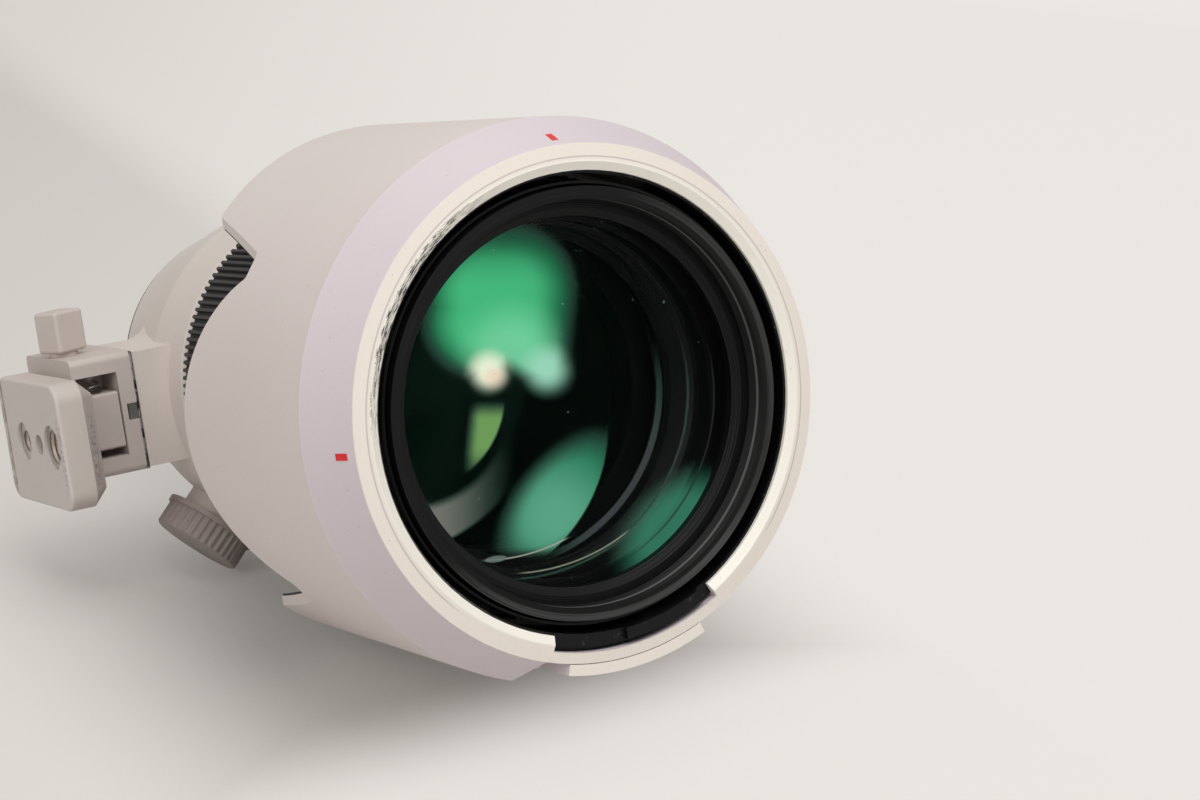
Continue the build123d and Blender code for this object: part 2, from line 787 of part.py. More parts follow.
def barrel_parts():
    """Fixed tubes of the lens, from the front tube back to the rear barrel."""
    flange_base = main_tube_top - front_tube_flange
    front_tube = turned(
        (main_tube_radius + seat_gap, flange_base),
        (front_cone_radius, flange_base),
        (front_tube_radius, flange_base + front_cone_length),
        (front_tube_radius, front_tube_top_z),
        (front_tube_bore, front_tube_top_z),
        (front_tube_bore, main_tube_top),
        (main_tube_radius + seat_gap, main_tube_top),
    )
    wall_middle = (front_tube_radius + front_tube_bore) / 2
    for angle in focus_pin_angles:
        front_tube -= straight_slot(wall_middle, front_tube_radius, pin_slot_width, focus_pin_z,
                                    focus_pin_z + focus_travel, angle)
    nodes["front_tube"] = front_tube

    main_tube = turned(
        (main_tube_bore, main_tube_base),
        (main_tube_rear_radius, main_tube_base),
        (main_tube_rear_radius, collar_top_z + seat_gap),
        (main_tube_radius, collar_top_z + seat_gap),
        (main_tube_radius, main_tube_top),
        (main_tube_bore, main_tube_top),
    )
    key_half_angle = math.degrees(zoom_key_width / 2 / main_tube_bore) + key_play_angle
    main_tube -= sector(main_tube_radius + overrun, main_tube_bore - overrun, zoom_key_station - key_room,
                        zoom_key_station + key_room, zoom_key_angle + zoom_turn / 2,
                        zoom_turn + 2 * key_half_angle)
    nodes["main_tube"] = main_tube

    base_bore = rear_cell_radius + rear_flange_width + seat_gap
    base_top = main_tube_base - seat_gap
    rear_barrel = turned(
        (base_bore, mount_thickness), (rear_edge_radius, mount_thickness), (rear_cone_radius, rear_cone_top),
        (main_tube_radius, rear_cone_top), (main_tube_radius, collar_top_z),
        (main_tube_rear_radius + seat_gap, collar_top_z), (main_tube_rear_radius + seat_gap, base_top),
        (base_bore, base_top),
    )
    for place in mount_screw_places():
        rear_barrel -= place * bar(mount_screw_radius + seat_gap, mount_screw_length)
    nodes["rear_barrel"] = rear_barrel

    guide = turned(
        (guide_tube_bore, guide_tube_base), (main_tube_bore - seat_gap, guide_tube_base),
        (main_tube_bore - seat_gap, guide_tube_base + guide_flange),
        (guide_tube_radius, guide_tube_base + guide_flange),
        (guide_tube_radius, guide_tube_top - guide_flange),
        (front_tube_bore - seat_gap, guide_tube_top - guide_flange),
        (front_tube_bore - seat_gap, guide_tube_top), (guide_tube_bore, guide_tube_top),
    )
    for angle in follower_angles:
        guide -= straight_slot(guide_tube_radius, slot_depth, pin_slot_width, variator_pin_z - variator_travel,
                               variator_pin_z, angle)
        guide -= straight_slot(guide_tube_radius, slot_depth, pin_slot_width, compensator_pin_z,
                               compensator_pin_z + compensator_travel, angle + follower_offset)
    nodes["guide_tube"] = guide


def panel_parts():
    """Fixed barrel between the rings, with its switch panel."""
    outer = front_tube_radius + seat_gap + panel_barrel_wall
    inner = front_tube_radius + seat_gap
    floor_top = main_tube_top - front_tube_flange - seat_gap
    barrel = turned(
        (zoom_sleeve_bore, panel_base_z), (zoom_grip_radius, panel_base_z),
        (outer, panel_base_z + panel_cone_length), (outer, panel_top_z), (inner, panel_top_z),
        (inner, floor_top + front_cone_length), (front_cone_radius + seat_gap, floor_top),
        (zoom_sleeve_bore, floor_top),
    )
    half = panel_width / 2
    top = panel_face_radius - panel_plate
    low = panel_top_z - panel_length - ring_gap
    high = panel_top_z - ring_gap
    boss = block(inner - panel_barrel_wall, top, -half, half, low, high)
    boss -= ring(inner, 0, low - overrun, high + overrun)
    barrel += Rot(0, 0, panel_angle) * boss
    plate = block(top, panel_face_radius, -half, half, low, high)
    slots = []
    switches = []
    screws = []
    middle = (low + high) / 2
    slot_half = (switch_length + switch_travel) / 2 + switch_play
    for side in (-1, 1):
        across = side * switch_spacing / 2
        half_wide = switch_width / 2
        slots.append(block(switch_floor, panel_face_radius + overrun, across - half_wide - switch_play,
                           across + half_wide + switch_play, middle - slot_half, middle + slot_half))
        start = middle - slot_half + switch_play
        switches.append(Rot(0, 0, panel_angle) * block(switch_floor + switch_play,
                        panel_face_radius + switch_proud, across - half_wide, across + half_wide,
                        start, start + switch_length))
    for side in (-1, 1):
        for end in (-1, 1):
            screws.append(Pos(0, side * (half - panel_screw_inset), middle + end *
                          (panel_length / 2 - panel_screw_inset)) * Pos(panel_face_radius - panel_screw_length,
                          0, 0) * Rot(0, 90, 0) * bar(panel_screw_radius, panel_screw_length))
    screw_room = fused(screws)
    for slot in slots:
        barrel -= Rot(0, 0, panel_angle) * slot
        plate -= slot
    nodes["panel_barrel"] = barrel - Rot(0, 0, panel_angle) * screw_room
    nodes["switch_panel"] = Rot(0, 0, panel_angle) * (plate - screw_room)
    nodes["panel_screws"] = [Rot(0, 0, panel_angle) * screw for screw in screws]
    nodes["focus_mode_switch"] = switches[0]
    nodes["stabiliser_switch"] = switches[1]


def focus_parts():
    """Focusing ring, its grip and the focusing group that its climbing slots drive."""
    ring_low = focus_ring_base_z
    ring_high = focus_ring_top_z
    sleeve = ring(focus_sleeve_radius, focus_sleeve_bore, ring_low, ring_high)
    wall_middle = (focus_sleeve_radius + focus_sleeve_bore) / 2
    slot = climbing_slot(wall_middle, 2 * focus_ring_wall, pin_slot_width, focus_pin_z, focus_travel,
                         -focus_turn)
    for angle in focus_pin_angles:
        sleeve -= Rot(0, 0, angle) * slot
    nodes["focus_ring"] = sleeve
    base = focus_grip_radius - focus_rib_height
    nodes["focus_grip"] = ribbed_sleeve(focus_sleeve_radius + seat_gap, base, focus_grip_radius,
                                        focus_rib_count, ring_low + grip_border, ring_high - grip_border)

    outer = front_tube_bore - running_gap
    bore = outer - focus_carriage_wall
    low = focus_carriage_station
    high = low + focus_carriage_length
    step = focus_carriage_wall / 2
    carriage = turned((bore - step, low), (outer, low), (outer, high), (bore, high), (bore, low + step),
                      (bore - step, low + step))
    pins = [outward_bar(angle, follower_pin_radius, outer - step, focus_sleeve_radius - seat_gap, focus_pin_z)
            for angle in focus_pin_angles]
    pin_room = [outward_bar(angle, follower_pin_radius + pin_seat, outer - step - pin_seat, outer + overrun,
                            focus_pin_z) for angle in focus_pin_angles]
    nodes["focus_carriage"] = carriage - fused(pin_room)
    nodes["focus_pins"] = pins
    on_ledge = face_height(bore - seat_gap, focus_glass_bulge, bore - step)
    nodes["focus_element"] = glass(bore - seat_gap, low + step + seat_gap + on_ledge, focus_glass_edge,
                                   focus_glass_bulge, focus_glass_bulge)


def zoom_parts():
    """Zoom ring, grip, driving key and the cam tube that it turns."""
    nodes["zoom_ring"] = ring(zoom_sleeve_radius, zoom_sleeve_bore, zoom_ring_base_z, zoom_ring_top_z)
    base = zoom_grip_radius - zoom_rib_height
    nodes["zoom_grip"] = ribbed_sleeve(zoom_sleeve_radius + seat_gap, base, zoom_grip_radius, zoom_rib_count,
                                       zoom_ring_base_z + grip_border, zoom_ring_top_z - grip_border)
    nodes["zoom_key"] = sector(zoom_sleeve_bore - key_play, cam_tube_radius + key_play,
                               zoom_key_station - zoom_key_length / 2,
                               zoom_key_station + zoom_key_length / 2, zoom_key_angle,
                               math.degrees(zoom_key_width / main_tube_bore))

    cam = ring(cam_tube_radius, cam_tube_radius - cam_tube_wall, guide_tube_base + guide_flange + cam_play,
               guide_tube_top - guide_flange - cam_play)
    wall_middle = cam_tube_radius - cam_tube_wall / 2
    fall = climbing_slot(wall_middle, 2 * cam_tube_wall, pin_slot_width, variator_pin_z - variator_travel,
                         variator_travel, zoom_turn)
    rise = climbing_slot(wall_middle, 2 * cam_tube_wall, pin_slot_width, compensator_pin_z,
                         compensator_travel, -zoom_turn)
    for angle in follower_angles:
        cam -= Rot(0, 0, angle - zoom_turn) * fall
        cam -= Rot(0, 0, angle + follower_offset) * rise
    nodes["cam_tube"] = cam


def travelling_group(name, low, length, pin_z, start_angle, front_bulge, rear_bulge):
    """Carriage that slides in the guide tube, with its glass and its three follower pins."""
    outer = guide_tube_bore - running_gap
    bore = outer - carriage_wall
    step = carriage_wall / 2
    carriage = turned((bore - step, low), (outer, low), (outer, low + length), (bore, low + length),
                      (bore, low + step), (bore - step, low + step))
    angles = [angle + start_angle for angle in follower_angles]
    pins = [outward_bar(angle, follower_pin_radius, outer - step, cam_tube_radius - seat_gap, pin_z)
            for angle in angles]
    pin_room = [outward_bar(angle, follower_pin_radius + pin_seat, outer - step - pin_seat, outer + overrun,
                            pin_z) for angle in angles]
    nodes[name + "_carriage"] = carriage - fused(pin_room)
    nodes[name + "_pins"] = pins
    on_ledge = face_height(bore - seat_gap, rear_bulge, bore - step) if rear_bulge > 0 else 0
    nodes[name + "_element"] = glass(bore - seat_gap, low + step + seat_gap + on_ledge, group_glass_edge,
                                     front_bulge, rear_bulge)


def iris_parts():
    """Iris unit: a housing and its thin blades, each in a layer of its own."""
    outer = guide_tube_bore - seat_gap
    inner = outer - iris_wall
    opening = inner - iris_shelf
    plate = iris_wall / 2
    top = iris_base + iris_length
    housing = ring(outer, inner, iris_base, top)
    housing += ring(outer, opening + plate, iris_base, iris_base + plate)
    housing += ring(outer, opening + plate, top - plate, top)
    nodes["iris_housing"] = housing
    blades = []
    for i in range(blade_count):
        low = iris_base + 2 * plate + i * blade_pitch
        blade = sector(opening + blade_width, opening, low, low + blade_thickness, blade_sweep / 2,
                       blade_sweep)
        ear = sector(inner - seat_gap, opening + blade_width / 2, low, low + blade_thickness,
                     blade_ear / 2, blade_ear)
        blades.append(Rot(0, 0, 360.0 * i / blade_count) * (blade + ear))
    nodes["iris_blades"] = blades


def rear_parts():
    """Stabiliser, rear group, circuit board, motor, bayonet mount and contacts."""
    outer = main_tube_bore - seat_gap
    high = stabiliser_base + stabiliser_length
    rim = stabiliser_rim
    nodes["stabiliser_unit"] = turned(
        (stabiliser_bore, stabiliser_base), (outer, stabiliser_base), (outer, high),
        (stabiliser_bore + rim, high), (stabiliser_bore + rim, stabiliser_base + rim),
        (stabiliser_bore, stabiliser_base + rim),
    )
    nodes["stabiliser_element"] = glass(stabiliser_bore + rim - seat_gap, stabiliser_base + rim + seat_gap,
                                        group_glass_edge, group_glass_bulge / 2, -group_glass_bulge / 2)
    board_low = main_tube_base + board_lift
    nodes["circuit_board"] = ring(outer, rear_cell_radius + board_lift, board_low, board_low + board_thickness)
    motor_circle = (cam_tube_radius + front_tube_bore) / 2
    nodes["focus_motor"] = Pos(motor_circle, 0, main_tube_top + seat_gap) * bar(motor_radius, motor_length)

    bore = rear_cell_radius - rear_cell_wall
    step = rear_cell_wall / 2
    nodes["rear_cell"] = turned(
        (bore - step, rear_cell_base), (rear_cell_radius, rear_cell_base),
        (rear_cell_radius, mount_thickness + seat_gap),
        (rear_cell_radius + rear_flange_width, mount_thickness + seat_gap),
        (rear_cell_radius + rear_flange_width, mount_thickness + rear_flange_width),
        (rear_cell_radius, mount_thickness + rear_flange_width),
        (rear_cell_radius, rear_cell_top), (bore, rear_cell_top), (bore, rear_cell_base + step),
        (bore - step, rear_cell_base + step),
    )
    nodes["rear_element"] = glass(bore - seat_gap, rear_cell_base + step + seat_gap, rear_glass_edge,
                                  rear_glass_bulge, -rear_glass_bulge / 2)

    mount = turned(
        (mount_bore, -mount_throat_length), (mount_throat_radius, -mount_throat_length),
        (mount_throat_radius, 0), (mount_radius, 0), (mount_radius, mount_thickness - seat_gap),
        (mount_bore, mount_thickness - seat_gap),
    )
    for tab in around(mount_tab_count, sector(mount_tab_radius, mount_throat_radius - seat_gap,
                                              -mount_throat_length, mount_tab_length - mount_throat_length,
                                              30, mount_tab_angle)):
        mount += tab
    screws = []
    for place in mount_screw_places():
        screws.append(place * (bar(mount_screw_radius, mount_screw_length - seat_gap) +
                               bar(mount_screw_head, mount_screw_head_height)))
        mount -= place * bar(mount_screw_radius + seat_gap, mount_screw_length)
        mount -= place * Pos(0, 0, -overrun) * bar(mount_screw_head + seat_gap,
                                                   mount_screw_head_height + seat_gap + overrun)
    nodes["mount_bayonet"] = mount
    nodes["mount_screws"] = screws
    nodes["weather_seal"] = ring(mount_radius + seat_gap + seal_thickness, mount_radius + seat_gap,
                                 seal_thickness, mount_thickness - seat_gap)
    nodes["mount_index_dot"] = outward_bar(90, mount_dot_radius, rear_edge_radius - mount_dot_radius,
                                           rear_edge_radius + mount_dot_radius, mount_dot_z)
    nodes["rear_barrel"] -= outward_bar(90, mount_dot_radius, rear_edge_radius - mount_dot_radius,
                                        rear_cone_radius, mount_dot_z)

    contact_outer = mount_bore - seat_gap
    contact_low = -contact_length - contact_sink
    carrier = sector(contact_outer, contact_outer - contact_depth, contact_low, -contact_sink, 270,
                     contact_angle)
    contact_circle = contact_outer - contact_depth / 2
    contact_step = contact_angle / (contact_count + 1)
    pins = []
    for i in range(contact_count):
        angle = math.radians(270 + (i - (contact_count - 1) / 2) * contact_step)
        place = Pos(contact_circle * math.cos(angle), contact_circle * math.sin(angle),
                    contact_low - contact_pin_proud)
        pins.append(place * bar(contact_pin_radius, contact_length / 2))
    nodes["contact_block"] = carrier - fused(pins)
    nodes["contact_pins"] = pins


def mount_screw_places():
    """Places of the mount screws, heads at the mount's face."""
    return [Rot(0, 0, 45 + 360.0 * i / mount_screw_count) * Pos(mount_screw_circle, 0, 0)
            for i in range(mount_screw_count)]


def collar_parts():
    """Tripod collar with its foot block, dovetail rail, latch and lock knob."""
    body = turned(
        (collar_bore, collar_base_z), (collar_rear_radius, collar_base_z),
        (collar_front_radius, collar_base_z + collar_cone_length),
        (collar_front_radius, collar_top_z - collar_round),
        (collar_front_radius - collar_round, collar_top_z), (collar_bore, collar_top_z),
    )
    half = block_half_width
    side_foot = math.sqrt(collar_rear_radius ** 2 - (half + block_flare) ** 2)
    with BuildPart() as foot_block:
        with BuildSketch(Plane.XY.offset(block_base_z)):
            with BuildLine():
                Polyline((-block_face, -half), (-block_face, half), (-collar_front_radius, half))
                side_arc(collar_front_radius, half, side_foot, half + block_flare)
                Line((-side_foot, half + block_flare), (-side_foot, -half - block_flare))
                side_arc(collar_front_radius, -half, side_foot, -half - block_flare)
                Line((-collar_front_radius, -half), (-block_face, -half))
            make_face()
        extrude(amount=block_length)
    body += foot_block.part
    body += outward_bar(knob_angle, knob_boss_radius, collar_bore, knob_base - knob_boss_gap, knob_station)
    body += rail(0)
    body -= ring(collar_bore, 0, collar_base_z - block_length, collar_top_z + overrun)
    body -= outward_bar(knob_angle, knob_screw_radius + running_gap, 0, knob_reach, knob_station)
    latch = block(-block_face - latch_height + latch_sink, -block_face + latch_sink, -latch_size / 2,
                  latch_size / 2, block_top_z - latch_depth, block_top_z - latch_sink)
    nodes["collar_ring"] = body - latch
    nodes["foot_latch"] = latch

    grip_length = knob_reach - knob_base
    screw_end = knob_base + grip_length / 2
    knob = bar(knob_radius, grip_length)
    knob += bar(knob_radius + knob_lip_step, knob_lip)
    knob = chamfer(knob.edges().filter_by(GeomType.CIRCLE).sort_by(Axis.Z)[-1], knob_rim_chamfer)
    groove = Pos(knob_radius + knob_lip_step, 0, knob_lip) * bar(knob_rib_depth + knob_lip_step, grip_length)
    for cut in around(knob_rib_count, groove):
        knob -= cut
    knob -= bar(knob_screw_radius, screw_end - knob_base)
    nodes["collar_knob"] = outward(knob_angle, knob_base, knob_station) * knob
    nodes["collar_knob_screw"] = outward_bar(knob_angle, knob_screw_radius - pin_seat,
                                             collar_bore + knob_boss_gap, screw_end - pin_seat, knob_station)


def side_arc(start_reach, start_across, end_reach, end_across):
    """Hollow curve from the side of the block out to the ring, in the plane of the ring."""
    middle_reach = end_reach + (start_reach - end_reach) * flare_reach_share
    middle_across = start_across + (end_across - start_across) * flare_across_share
    return ThreePointArc((-start_reach, start_across), (-middle_reach, middle_across),
                         (-end_reach, end_across))


def rail(play):
    """Dovetail rail on the collar, or with play the groove that it runs in."""
    low = block_base_z if play == 0 else stem_base_z - overrun
    high = block_top_z - latch_depth - rail_front_gap + play
    with BuildPart() as made:
        with BuildSketch(Plane.XY.offset(low)):
            with BuildLine():
                Polyline((-block_face + rail_root, -rail_half_width - play),
                         (-block_face, -rail_half_width - play),
                         (-block_face - rail_height - play, -rail_half_width - rail_flare - play),
                         (-block_face - rail_height - play, rail_half_width + rail_flare + play),
                         (-block_face, rail_half_width + play),
                         (-block_face + rail_root, rail_half_width + play), close=True)
            make_face()
        extrude(amount=high - low)
    return made.part


def foot_parts():
    """Quick-release foot with its bushes, lock knob and release block."""
    plate_back = foot_face - foot_plate_thickness
    plate_low = foot_plate_front - foot_plate_length
    centre = -foot_plate_drop
    half = foot_plate_width / 2
    plate = block(-foot_face, -plate_back, centre - half, centre + half, plate_low, foot_plate_front)
    plate = fillet(plate.edges().filter_by(Axis.X), foot_plate_corner)
    plate = chamfer(plate.faces().sort_by(Axis.X)[-1].edges(), foot_plate_chamfer)
    plate = fillet(plate.faces().sort_by(Axis.X)[0].edges(), foot_edge_round)
    stem = block(-plate_back - foot_edge_round, -block_face - stem_gap, -stem_half_width, stem_half_width,
                 stem_base_z, block_top_z)
    stem = fillet(stem.edges().filter_by(Axis.X), stem_round)
    foot = plate + stem
    window_near = block_face + stem_gap + window_rail
    foot -= block(-plate_back, -window_near, -window_half_height, window_half_height,
                  block_top_z - window_depth, block_top_z + overrun)
    foot -= rail(foot_slide_gap)
    notch_half = latch_size / 2 + foot_slide_gap
    foot -= block(-block_face - latch_height, -block_face, -notch_half, notch_half,
                  block_top_z - latch_depth - rail_front_gap, block_top_z + overrun)
    groove_low = plate_low + groove_inset
    foot -= block(-foot_face - overrun, -foot_face + groove_depth, centre - half + groove_end,
                  centre + half + overrun, groove_low, groove_low + groove_width)
    shaft_base = stem_half_width - lock_shaft_depth
    shaft_place = Pos(-lock_knob_axis, shaft_base, lock_knob_station) * Rot(-90, 0, 0)
    shaft_bore = bar(lock_shaft_radius + running_gap, lock_shaft_depth + overrun)
    foot -= shaft_place * Pos(0, 0, -pin_seat) * shaft_bore

    large_z = foot_plate_front - front_bush_inset
    small_z = large_z - bush_spacing
    pin_z = large_z - bush_spacing * pin_hole_share
    bushes = []
    for station, radius, wall in ((large_z, three_eighths_radius, large_bush_wall),
                                  (small_z, quarter_inch_radius, small_bush_wall)):
        place = Pos(-foot_face + bush_recess, centre, station) * Rot(0, 90, 0)
        bushes.append(place * (bar(radius + wall, bush_length) - bar(radius, bush_length)))
        foot -= place * Pos(0, 0, -overrun) * bar(radius + wall + pin_seat, bush_length + overrun + pin_seat)
    foot -= Pos(-foot_face - overrun, centre, pin_z) * Rot(0, 90, 0) * bar(pin_hole_radius,
                                                                         pin_hole_depth + overrun)
    spring_x = -(window_near + plate_back) / 2
    spring_z = block_top_z - release_sink - release_depth / 2
    spring_room = release_spring_radius + 2 * release_spring_wire
    foot -= Pos(spring_x, window_half_height, spring_z) * Rot(-90, 0, 0) * bar(spring_room, release_pocket)
    nodes["foot"] = foot
    nodes["foot_bushes"] = bushes

    block_low = -window_half_height + release_low_gap
    block_high = block_low + release_height
    release = block(-plate_back + release_side_gap, -window_near - release_side_gap, block_low, block_high,
                    block_top_z - release_sink - release_depth, block_top_z - release_sink)
    release = fillet(release.edges().filter_by(Axis.X), release_round)
    release -= Pos(spring_x, block_high - release_pocket, spring_z) * Rot(-90, 0, 0) * bar(
        spring_room, release_pocket + overrun)
    nodes["foot_release_block"] = release
    coil_base = block_high - release_pocket
    coil_length = window_half_height + release_pocket - coil_base
    coil = spring("foot release spring", release_spring_radius, release_spring_wire, coil_length,
                  release_spring_turns)
    nodes["foot_release_spring"] = Pos(spring_x, coil_base, spring_z) * Rot(-90, 0, 0) * coil

    knob_low = stem_half_width + lock_knob_lift
    cube = Box(lock_knob_side, lock_knob_side, lock_knob_height, align=(Align.CENTER, Align.CENTER, Align.MIN))
    cube = fillet(cube.edges(), lock_knob_round)
    knob = Pos(0, 0, knob_low - shaft_base) * Rot(0, 0, lock_knob_turn) * cube
    nodes["foot_lock_knob"] = shaft_place * (knob + bar(lock_shaft_radius, knob_low - shaft_base))


hood_parts()
front_parts()
barrel_parts()
panel_parts()
focus_parts()
zoom_parts()
travelling_group("variator", variator_station, variator_length, variator_pin_z, 0,
                 -group_glass_bulge, -group_glass_bulge / 2)
travelling_group("compensator", compensator_station, compensator_length, compensator_pin_z,
                 follower_offset, group_glass_bulge, group_glass_bulge / 2)
iris_parts()
rear_parts()
collar_parts()
foot_parts()

# At rest the hood's lower petal and the rear edge of the barrel both touch the table
rest_tilt = math.degrees(math.atan2(hood_radius - rear_edge_radius, petal_tip_z - mount_thickness))
lay_down = Rot(90 - rest_tilt, 0, 0)
laid = {name: [lay_down * shape for shape in (made if isinstance(made, list) else [made])]
        for name, made in nodes.items()}
boxes = [shape.bounding_box() for shapes in laid.values() for shape in shapes]
middle_x = (min(box.min.X for box in boxes) + max(box.max.X for box in boxes)) / 2
middle_y = (min(box.min.Y for box in boxes) + max(box.max.Y for box in boxes)) / 2
seat = Pos(-middle_x, -middle_y, -min(box.min.Z for box in boxes))
for name, shapes in laid.items():
    placed = [seat * shape for shape in shapes]
    whole = placed[0] if len(placed) == 1 else Compound(children=placed)
    export_step(whole, f"parts/{name}.step")
mount_centre = (seat * lay_down * Pos(0, 0, 0)).position
print("rest tilt", round(rest_tilt, 4), "degrees, mount face centre at",
      [round(value, 4) for value in mount_centre])
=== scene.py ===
import bmesh
import bpy
import json
import math
from mathutils import Matrix, Vector


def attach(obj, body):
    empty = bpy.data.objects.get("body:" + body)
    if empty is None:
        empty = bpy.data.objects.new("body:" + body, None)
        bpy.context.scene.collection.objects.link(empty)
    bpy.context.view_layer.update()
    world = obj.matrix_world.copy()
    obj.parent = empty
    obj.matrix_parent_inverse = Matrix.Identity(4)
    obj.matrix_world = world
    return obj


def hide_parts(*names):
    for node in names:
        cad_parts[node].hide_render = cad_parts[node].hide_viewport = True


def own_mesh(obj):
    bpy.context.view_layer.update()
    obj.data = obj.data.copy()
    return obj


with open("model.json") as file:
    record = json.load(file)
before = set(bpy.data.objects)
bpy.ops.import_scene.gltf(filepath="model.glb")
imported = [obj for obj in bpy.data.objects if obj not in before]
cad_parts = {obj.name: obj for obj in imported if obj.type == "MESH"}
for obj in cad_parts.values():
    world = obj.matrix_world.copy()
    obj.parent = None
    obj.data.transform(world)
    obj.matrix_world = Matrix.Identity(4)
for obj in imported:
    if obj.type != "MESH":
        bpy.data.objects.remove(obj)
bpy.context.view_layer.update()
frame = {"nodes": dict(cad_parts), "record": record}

# The lens lies on its hood and the back of its barrel, so its optical axis is tilted. The camera mount and
# the filter thread give that axis: x across the lens, y towards its top, z along it to the front glass.
mounts = {mount["name"]: mount for mount in frame["record"]["mounts"]}
mount_face = Vector(mounts["camera_mount"]["pos_m"])
to_front = Vector(mounts["filter_thread"]["axis"]).normalized()
across = Vector((1, 0, 0))
lens = Matrix((across, to_front.cross(across), to_front)).transposed().to_4x4()
lens.translation = mount_face
hood_rim_station = 0.168

# The photograph was taken from the front and a little above, with a short telephoto field. The camera looks
# past the rim of the hood, which it sees just left of the middle of the picture.
image_width = 1200
image_height = 800
focal_pixels = 2869
film_width = 36
nearest_seen = 0.01
camera_pitch = math.radians(22.25)
camera_heading = math.radians(30.39)
rim_right, rim_down, rim_ahead = -0.001316, 0.000887, 0.53101
ahead = Vector((math.sin(camera_heading) * math.cos(camera_pitch),
                math.cos(camera_heading) * math.cos(camera_pitch), -math.sin(camera_pitch)))
right = ahead.cross(Vector((0, 0, 1))).normalized()
up = right.cross(ahead)
rim_centre = lens @ Vector((0, 0, hood_rim_station))
camera_place = rim_centre - right * rim_right + up * rim_down - ahead * rim_ahead
camera = bpy.data.objects.new("photo_camera", bpy.data.cameras.new("photo_camera"))
bpy.context.scene.collection.objects.link(camera)
camera.matrix_world = Matrix((right, up, -ahead)).transposed().to_4x4()
camera.location = camera_place
camera.data.sensor_width = film_width
camera.data.lens = film_width * focal_pixels / image_width
camera.data.clip_start = nearest_seen
bpy.context.scene.camera = camera


# Every finish is a node material. One class carries a socket through sums and products, and one method
# adds any other node.
class Wire:
    """One output of a material's nodes."""

    def __init__(self, tree, socket=None):
        self.tree = tree
        self.socket = socket

    def node(self, kind, settings, inputs, output=0):
        made = self.tree.nodes.new("ShaderNode" + kind)
        for name, value in settings.items():
            setattr(made, name, value)
        for name, value in inputs.items():
            if isinstance(value, Wire):
                self.tree.links.new(value.socket, made.inputs[name])
            else:
                made.inputs[name].default_value = value
        return Wire(self.tree, made.outputs[output])

    def __getitem__(self, name):
        return Wire(self.tree, self.socket.node.outputs[name])

    def maths(self, operation, *values):
        return self.node("Math", {"operation": operation}, dict(enumerate(values)))

    def __add__(self, other):
        return self.maths("ADD", self, other)

    __radd__ = __add__

    def __sub__(self, other):
        return self.maths("SUBTRACT", self, other)

    def __rsub__(self, other):
        return self.maths("SUBTRACT", other, self)

    def __mul__(self, other):
        return self.maths("MULTIPLY", self, other)

    __rmul__ = __mul__

    def __truediv__(self, other):
        return self.maths("DIVIDE", self, other)

    def __pow__(self, other):
        return self.maths("POWER", self, other)

    def fade(self, low, high):
        """Rises smoothly from 0 to 1 as the value goes from low to high."""
        return self.node("MapRange", {"interpolation_type": "SMOOTHSTEP"},
                         {"Value": self, "From Min": low, "From Max": high})

    def between(self, rise, fall):
        """Fades in along one stretch of the value and out along another."""
        return self.fade(*rise) * (1 - self.fade(*fall))

    def colours(self, first, second):
        """From the first colour to the second as the value goes from 0 to 1."""
        return self.node("Mix", {"data_type": "RGBA"}, {0: self, 6: first, 7: second}, 2)


def srgb(red, green, blue):
    """Linear colour of a tone read as 0 to 255."""
    tones = [tone / 255 for tone in (red, green, blue)]
    return (*[tone / 12.92 if tone < 0.04045 else ((tone + 0.055) / 1.055) ** 2.4 for tone in tones], 1)


def shader_of(material):
    return material.node_tree.nodes["Principled BSDF"]


def new_finish(name, **constants):
    """A material with its constant sockets set, and the start of its nodes."""
    material = bpy.data.materials.new(name)
    material.use_nodes = True
    for socket, value in constants.items():
        label = socket.replace("_", " ").title().replace("Ior", "IOR")
        shader_of(material).inputs[label].default_value = value
    return material, Wire(material.node_tree)


def feed(material, **wires):
    """Joins wires to the shader's sockets of the same names."""
    for socket, wire in wires.items():
        target = shader_of(material).inputs[socket.replace("_", " ").title()]
        material.node_tree.links.new(wire.socket, target)


def noise(place, scale, detail=2.0, roughness=0.5):
    return place.node("TexNoise", {}, {"Vector": place, "Scale": scale, "Detail": detail,
                                       "Roughness": roughness}, "Fac")


def bump(pattern, height):
    return pattern.node("Bump", {}, {"Height": pattern, "Distance": height}, "Normal")


# A pale sheet of paper swept up behind the lens is both table and backdrop. Its glow to the camera is painted
# light: weak near the lens, so that the lens's shadow stays close by, and stronger further off, where the
# paper is brightly lit.
table_half = 1.6
table_segments = 48
sweep_start = 0.9
table_mesh = bmesh.new()
bmesh.ops.create_grid(table_mesh, x_segments=table_segments, y_segments=table_segments, size=table_half)
for vertex in table_mesh.verts:
    beyond = max(0.0, vertex.co.y - sweep_start)
    vertex.co.z += beyond ** 2
table = bpy.data.objects.new("table", bpy.data.meshes.new("table"))
table_mesh.to_mesh(table.data)
table_mesh.free()
table.data.polygons.foreach_set("use_smooth", [True] * len(table.data.polygons))
bpy.context.scene.collection.objects.link(table)
table_finish, start = new_finish("table_paper", roughness=0.75, specular_ior_level=0.2)
table_place = start.node("TexCoord", {}, {}, "Object")
feed(table_finish, base_color=noise(table_place, 2.0).colours(srgb(200, 196, 192), srgb(206, 202, 198)),
     normal=bump(noise(table_place, 900.0), height=0.00004))
path = start.node("LightPath", {}, {}, "Is Camera Ray")
looked_at = path.maths("MAXIMUM", path, path["Is Glossy Ray"])
looked_at = looked_at.maths("MAXIMUM", looked_at, path["Is Transmission Ray"])
from_lens = start.node("VectorMath", {"operation": "LENGTH"}, {"Vector": table_place}, "Value")
along_right = start.node("VectorMath", {"operation": "DOT_PRODUCT"}, {0: table_place, 1: right}, "Value")
spot = start.node("SeparateXYZ", {}, {"Vector": table_place})
# Painted light: the glow rises away from the lens on every side and lifts the shade there, so only the lens's
# own shadow stays dark.
bright_share = 0.0
